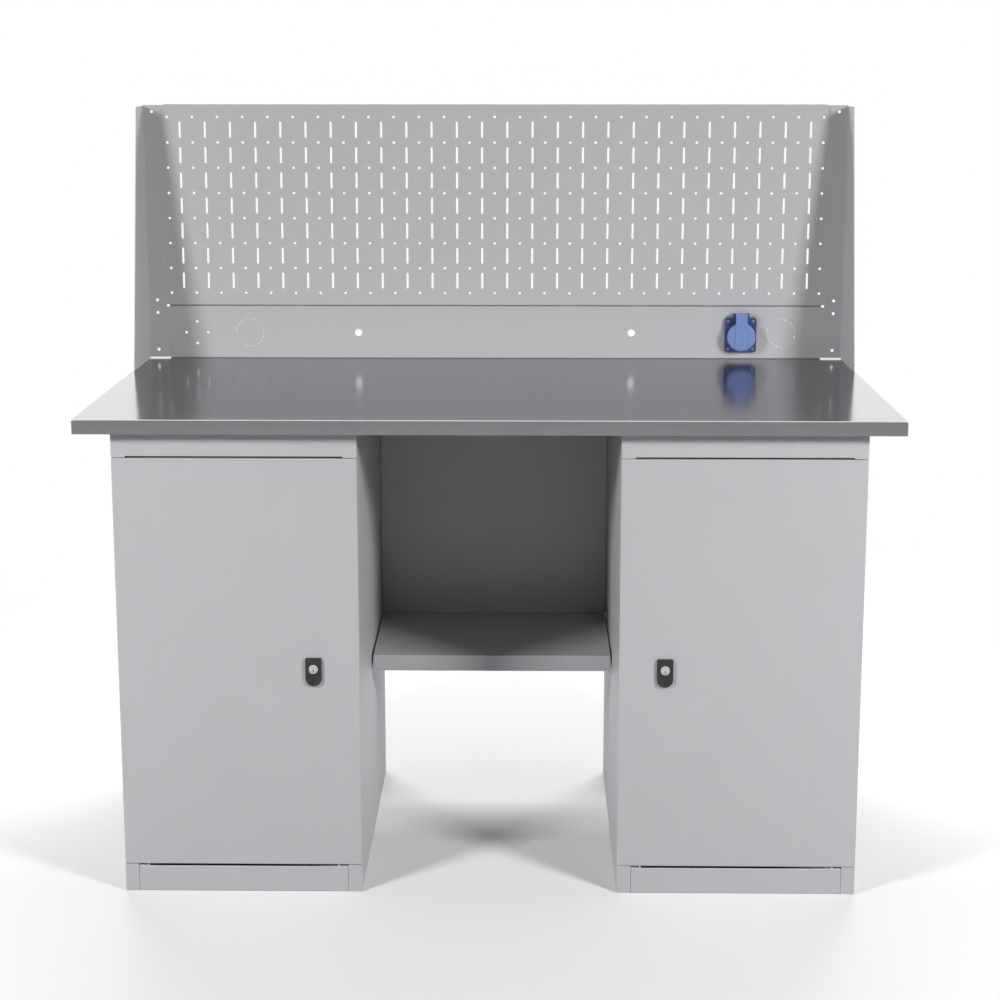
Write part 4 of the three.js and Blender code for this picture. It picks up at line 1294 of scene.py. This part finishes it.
class BENCH_OT_socket(bpy.types.Operator):
    """Power socket: housing with corner screws, contact insert, hinged lid and its pin"""

    bl_idname = "bench.socket"
    bl_label = "Power Socket"

    PLATE_WIDTH, PLATE_HEIGHT, PLATE_DEPTH = 64 * MM, 70 * MM, 8 * MM
    PLATE_CORNER, PLATE_EDGE = 6 * MM, 2.2 * MM
    SCREW_X, SCREW_Z = 25.2 * MM, 28.2 * MM
    SCREW_RADIUS, SCREW_SUNK = 3.2 * MM, 2.3 * MM
    WELL_RADIUS, WELL_DEPTH = 4.4 * MM, 3.2 * MM
    CUP = 20 * MM
    COLLAR, COLLAR_REACH, COLLAR_EDGE = 25.5 * MM, 10 * MM, 0.8 * MM
    COLLAR_FOOT, CUP_FOOT = 0.5 * MM, 9.5 * MM  # behind the plate's front
    REAR, REAR_FLOOR = 23.7 * MM, 2 * MM
    REAR_EDGE = ((0, 4 * MM), (1.5 * MM, 1.2 * MM), (3 * MM, 0))  # steps inward and forward
    SEAT = 0.5 * MM  # how far the rear housing reaches in front of the rail
    EAR, EAR_WIDTH, EAR_INSIDE = 5.5 * MM, 3.8 * MM, 12.1 * MM
    EAR_FOOT, EAR_TOP, EAR_BACK = 29 * MM, 44 * MM, 0.3 * MM
    INSERT, INSERT_RAISED, INSERT_STEP = 19.7 * MM, 15.7 * MM, 0.6 * MM
    CONTACT_HOLE, CONTACT_X = 2.6 * MM, 9.5 * MM
    CLIP_PLACE, CLIP_REACH, CLIP_ROOT = 18.4 * MM, 11 * MM, 0.4 * MM
    CLIP_SIZE, CLIP_EDGE = (2.2 * MM, 0.5 * MM), 0.3 * MM  # half of a clip's width and height
    LID, LID_WALL, LID_DEPTH, LID_DROP = 28.4 * MM, 2.4 * MM, 8 * MM, 2 * MM
    LID_EDGE, LID_CROWN, LID_ROUND = 3.2 * MM, 0.1 * MM, 3.1 * MM
    BAND_RISE, BAND_HALF, BAND_EDGE = 1.2 * MM, 13 * MM, 0.7 * MM
    BAND_INSET, BAND_SUNK, BAND_OVER = 0.6 * MM, 2 * MM, 2 * MM
    NECK_HALF, NECK_EDGE, NECK_INSET, NECK_START = 11.5 * MM, 1.2 * MM, 0.1 * MM, 4 * MM
    KNUCKLE, KNUCKLE_CHAMFER, KNUCKLE_EDGE, KNUCKLE_START = 5.4 * MM, 0.5 * MM, 0.8 * MM, 3 * MM
    PIN, PIN_CHAMFER = 2 * MM, 0.3 * MM
    PAST = 3 * MM  # how far cutters reach past what they cut

    def execute(self, context):
        middle = middle_of("socket_insert")
        self.x, self.z = middle.x, middle.z
        self.axis = along_y(self.x, self.z)
        self.hinge = middle_of("socket_lid_pin")
        self.housing()
        self.insert()
        self.lid()
        self.pin()
        return {"FINISHED"}

    def housing(self):
        """The plate with its cup and screw wells, the collar, the rear housing and the ears"""
        node = "socket_housing"
        low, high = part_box(node)
        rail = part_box("socket_rail")[0].y
        front = rail - self.PLATE_DEPTH
        outline = rounded_rectangle(
            self.x, self.z, self.PLATE_WIDTH, self.PLATE_HEIGHT, self.PLATE_CORNER, steps=8)
        plate = made(faced_plate, outline, front, rail, self.PLATE_EDGE, segments=4)
        corners = [(self.x + a * self.SCREW_X, self.z + b * self.SCREW_Z) for a in BOTH for b in BOTH]
        wells = [rod(self.WELL_RADIUS, front - self.PAST, front + self.WELL_DEPTH, steps=28,
                     axis=along_y(x, z)) for x, z in corners]
        cup = rod(self.CUP, low.y - self.PAST, rail - self.SEAT, steps=56, axis=self.axis)
        dress(node, joined(cut(plate, cup, *wells), made(self.collar, front), made(self.rear, rail, high.y),
                           made(self.ears, rail)))
        places = points_mesh([(x, front + self.SCREW_SUNK, z) for x, z in corners])
        screws = grow(cross_screws(), places, Head_Radius=self.SCREW_RADIUS, Material=finish("zinc_steel"))
        put("socket_screws", welded(screws), body_of(node), "zinc_steel")

    def collar(self, bm, plate):
        """The round wall under the lid, with the cup's wall inside it"""
        front, edge = plate - self.COLLAR_REACH, self.COLLAR_EDGE
        foot = (self.CUP, plate + self.CUP_FOOT)
        profile = [foot, (self.CUP, front + edge), (self.CUP + edge, front), (self.COLLAR - edge, front),
                   (self.COLLAR, front + edge), (self.COLLAR, plate + self.COLLAR_FOOT), foot]
        lathe(bm, profile, steps=64, axis=self.axis)

    def rear(self, bm, rail, back):
        """The terminal housing behind the rail"""
        seat, floor = rail - self.SEAT, rail + self.REAR_FLOOR
        profile = [(self.CUP, seat), (self.REAR, seat),
                   *[(self.REAR - inward, back - forward) for inward, forward in self.REAR_EDGE],
                   (0, back), (0, floor), (self.CUP, floor), (self.CUP, seat)]
        lathe(bm, profile, steps=56, axis=self.axis)

    def ears(self, bm, rail):
        """Two ears that hold the lid's pin"""
        back, foot = rail - self.EAR_BACK, self.z + self.EAR_FOOT
        y, z = self.hinge.yz
        outline = [(back, foot), (back, self.z + self.EAR_TOP), *arc(y, z, self.EAR, 60, 180, 10),
                   (y - self.EAR, foot)]
        for way in BOTH:
            inside = self.x + way * self.EAR_INSIDE
            extrude(bm, outline, inside, inside + way * self.EAR_WIDTH, "yz")

    def insert(self):
        """The contact insert and its two earth clips"""
        node = "socket_insert"
        low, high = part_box(node)
        step = low.y + self.INSERT_STEP
        profile = [(0, low.y), (self.INSERT_RAISED, low.y), (self.INSERT_RAISED + self.INSERT_STEP, step),
                   (self.INSERT, step), (self.INSERT, high.y), (0, high.y)]
        holes = [rod(self.CONTACT_HOLE, low.y - self.PAST, high.y - self.INSERT_STEP, steps=24,
                     axis=along_y(self.x + way * self.CONTACT_X, self.z)) for way in BOTH]
        disc = made(lathe, profile, steps=56, axis=self.axis)
        dress(node, welded(cut(disc, *holes)))
        bm = bmesh.new()
        half_width, half_height = self.CLIP_SIZE
        for way in BOTH:
            z = self.z + way * self.CLIP_PLACE
            block(bm, (self.x - half_width, low.y - self.CLIP_REACH, z - half_height),
                  (self.x + half_width, low.y + self.CLIP_ROOT, z + half_height), self.CLIP_EDGE)
        put("socket_earth_clips", shaded(bm), body_of(node), "bright_metal")

    def lid(self):
        """The round lid with its raised band, its neck and the knuckle round the pin"""
        node = "socket_lid"
        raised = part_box(node)[0].y
        front = raised + self.BAND_RISE
        back, inner = front + self.LID_DEPTH, front + self.LID_WALL
        x, z = self.x, self.z - self.LID_DROP
        edge = self.LID - self.LID_EDGE
        turn = arc(0, 0, self.LID_ROUND, 75, 0, 6)
        profile = [(0, front), (edge, front + self.LID_CROWN),
                   *[(edge + a, front + self.LID_EDGE - b) for a, b in turn], (self.LID, back),
                   (self.LID - self.LID_WALL, back), (self.LID - self.LID_WALL, inner), (0, inner)]
        bm = bmesh.new()
        lathe(bm, profile, steps=72, axis=along_y(x, z))
        reach = math.sqrt(self.LID ** 2 - self.BAND_HALF ** 2) - self.BAND_INSET
        block(bm, (x - self.BAND_HALF, raised, z - reach),
              (x + self.BAND_HALF, front + self.BAND_SUNK, z + reach + self.BAND_OVER),
              self.BAND_EDGE, segments=3)
        half, top = self.NECK_HALF, self.hinge.z + self.KNUCKLE
        block(bm, (x - half, raised + self.NECK_INSET, z + self.LID - self.NECK_START),
              (x + half, back - self.NECK_INSET, top), self.NECK_EDGE, segments=3)
        block(bm, (x - half, back - self.KNUCKLE_START, self.hinge.z - self.KNUCKLE),
              (x + half, self.hinge.y, top), self.KNUCKLE_EDGE)
        knuckle = along_x((x, self.hinge.y, self.hinge.z))
        chamfered_rod(bm, self.KNUCKLE, half, self.KNUCKLE_CHAMFER, steps=28, axis=knuckle)
        dress(node, shaded(bm))

    def pin(self):
        node = "socket_lid_pin"
        low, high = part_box(node)
        bm = bmesh.new()
        half = (high.x - low.x) / 2
        chamfered_rod(bm, self.PIN, half, self.PIN_CHAMFER, steps=20, axis=along_x(self.hinge))
        dress(node, shaded(bm))


class BENCH_PT_sidebar(bpy.types.Panel):
    """Sidebar with the bench's finishes, sizes and pieces"""

    bl_idname = "BENCH_PT_sidebar"
    bl_label = "Workbench"
    bl_space_type = "VIEW_3D"
    bl_region_type = "UI"
    bl_category = "Workbench"

    def draw(self, context):
        layout = self.layout
        for group in GROUPS:
            column = layout.column(align=True)
            for name in GROUPS[group].__annotations__:
                column.prop(getattr(context.scene, group), name)
        for operator in OPERATORS:
            layout.operator(operator.bl_idname)


GROUPS = {"bench_finishes": BenchFinishes, "bench_sizes": BenchSizes, "bench_studio": BenchStudio}
OPERATORS = (BENCH_OT_studio, BENCH_OT_worktop, BENCH_OT_pedestals, BENCH_OT_doors, BENCH_OT_locks,
             BENCH_OT_knee_space, BENCH_OT_screen, BENCH_OT_bolts, BENCH_OT_socket)
CLASSES = (*GROUPS.values(), *OPERATORS, BENCH_PT_sidebar)


def register():
    for cls in CLASSES:
        bpy.utils.register_class(cls)
    for name, group in GROUPS.items():
        setattr(bpy.types.Scene, name, PointerProperty(type=group))


def unregister():
    for name in GROUPS:
        delattr(bpy.types.Scene, name)
    for cls in reversed(CLASSES):
        bpy.utils.unregister_class(cls)


def main():
    register()
    for operator in OPERATORS:
        category, name = operator.bl_idname.split(".")
        getattr(getattr(bpy.ops, category), name)()


if __name__ == "__main__":
    main()
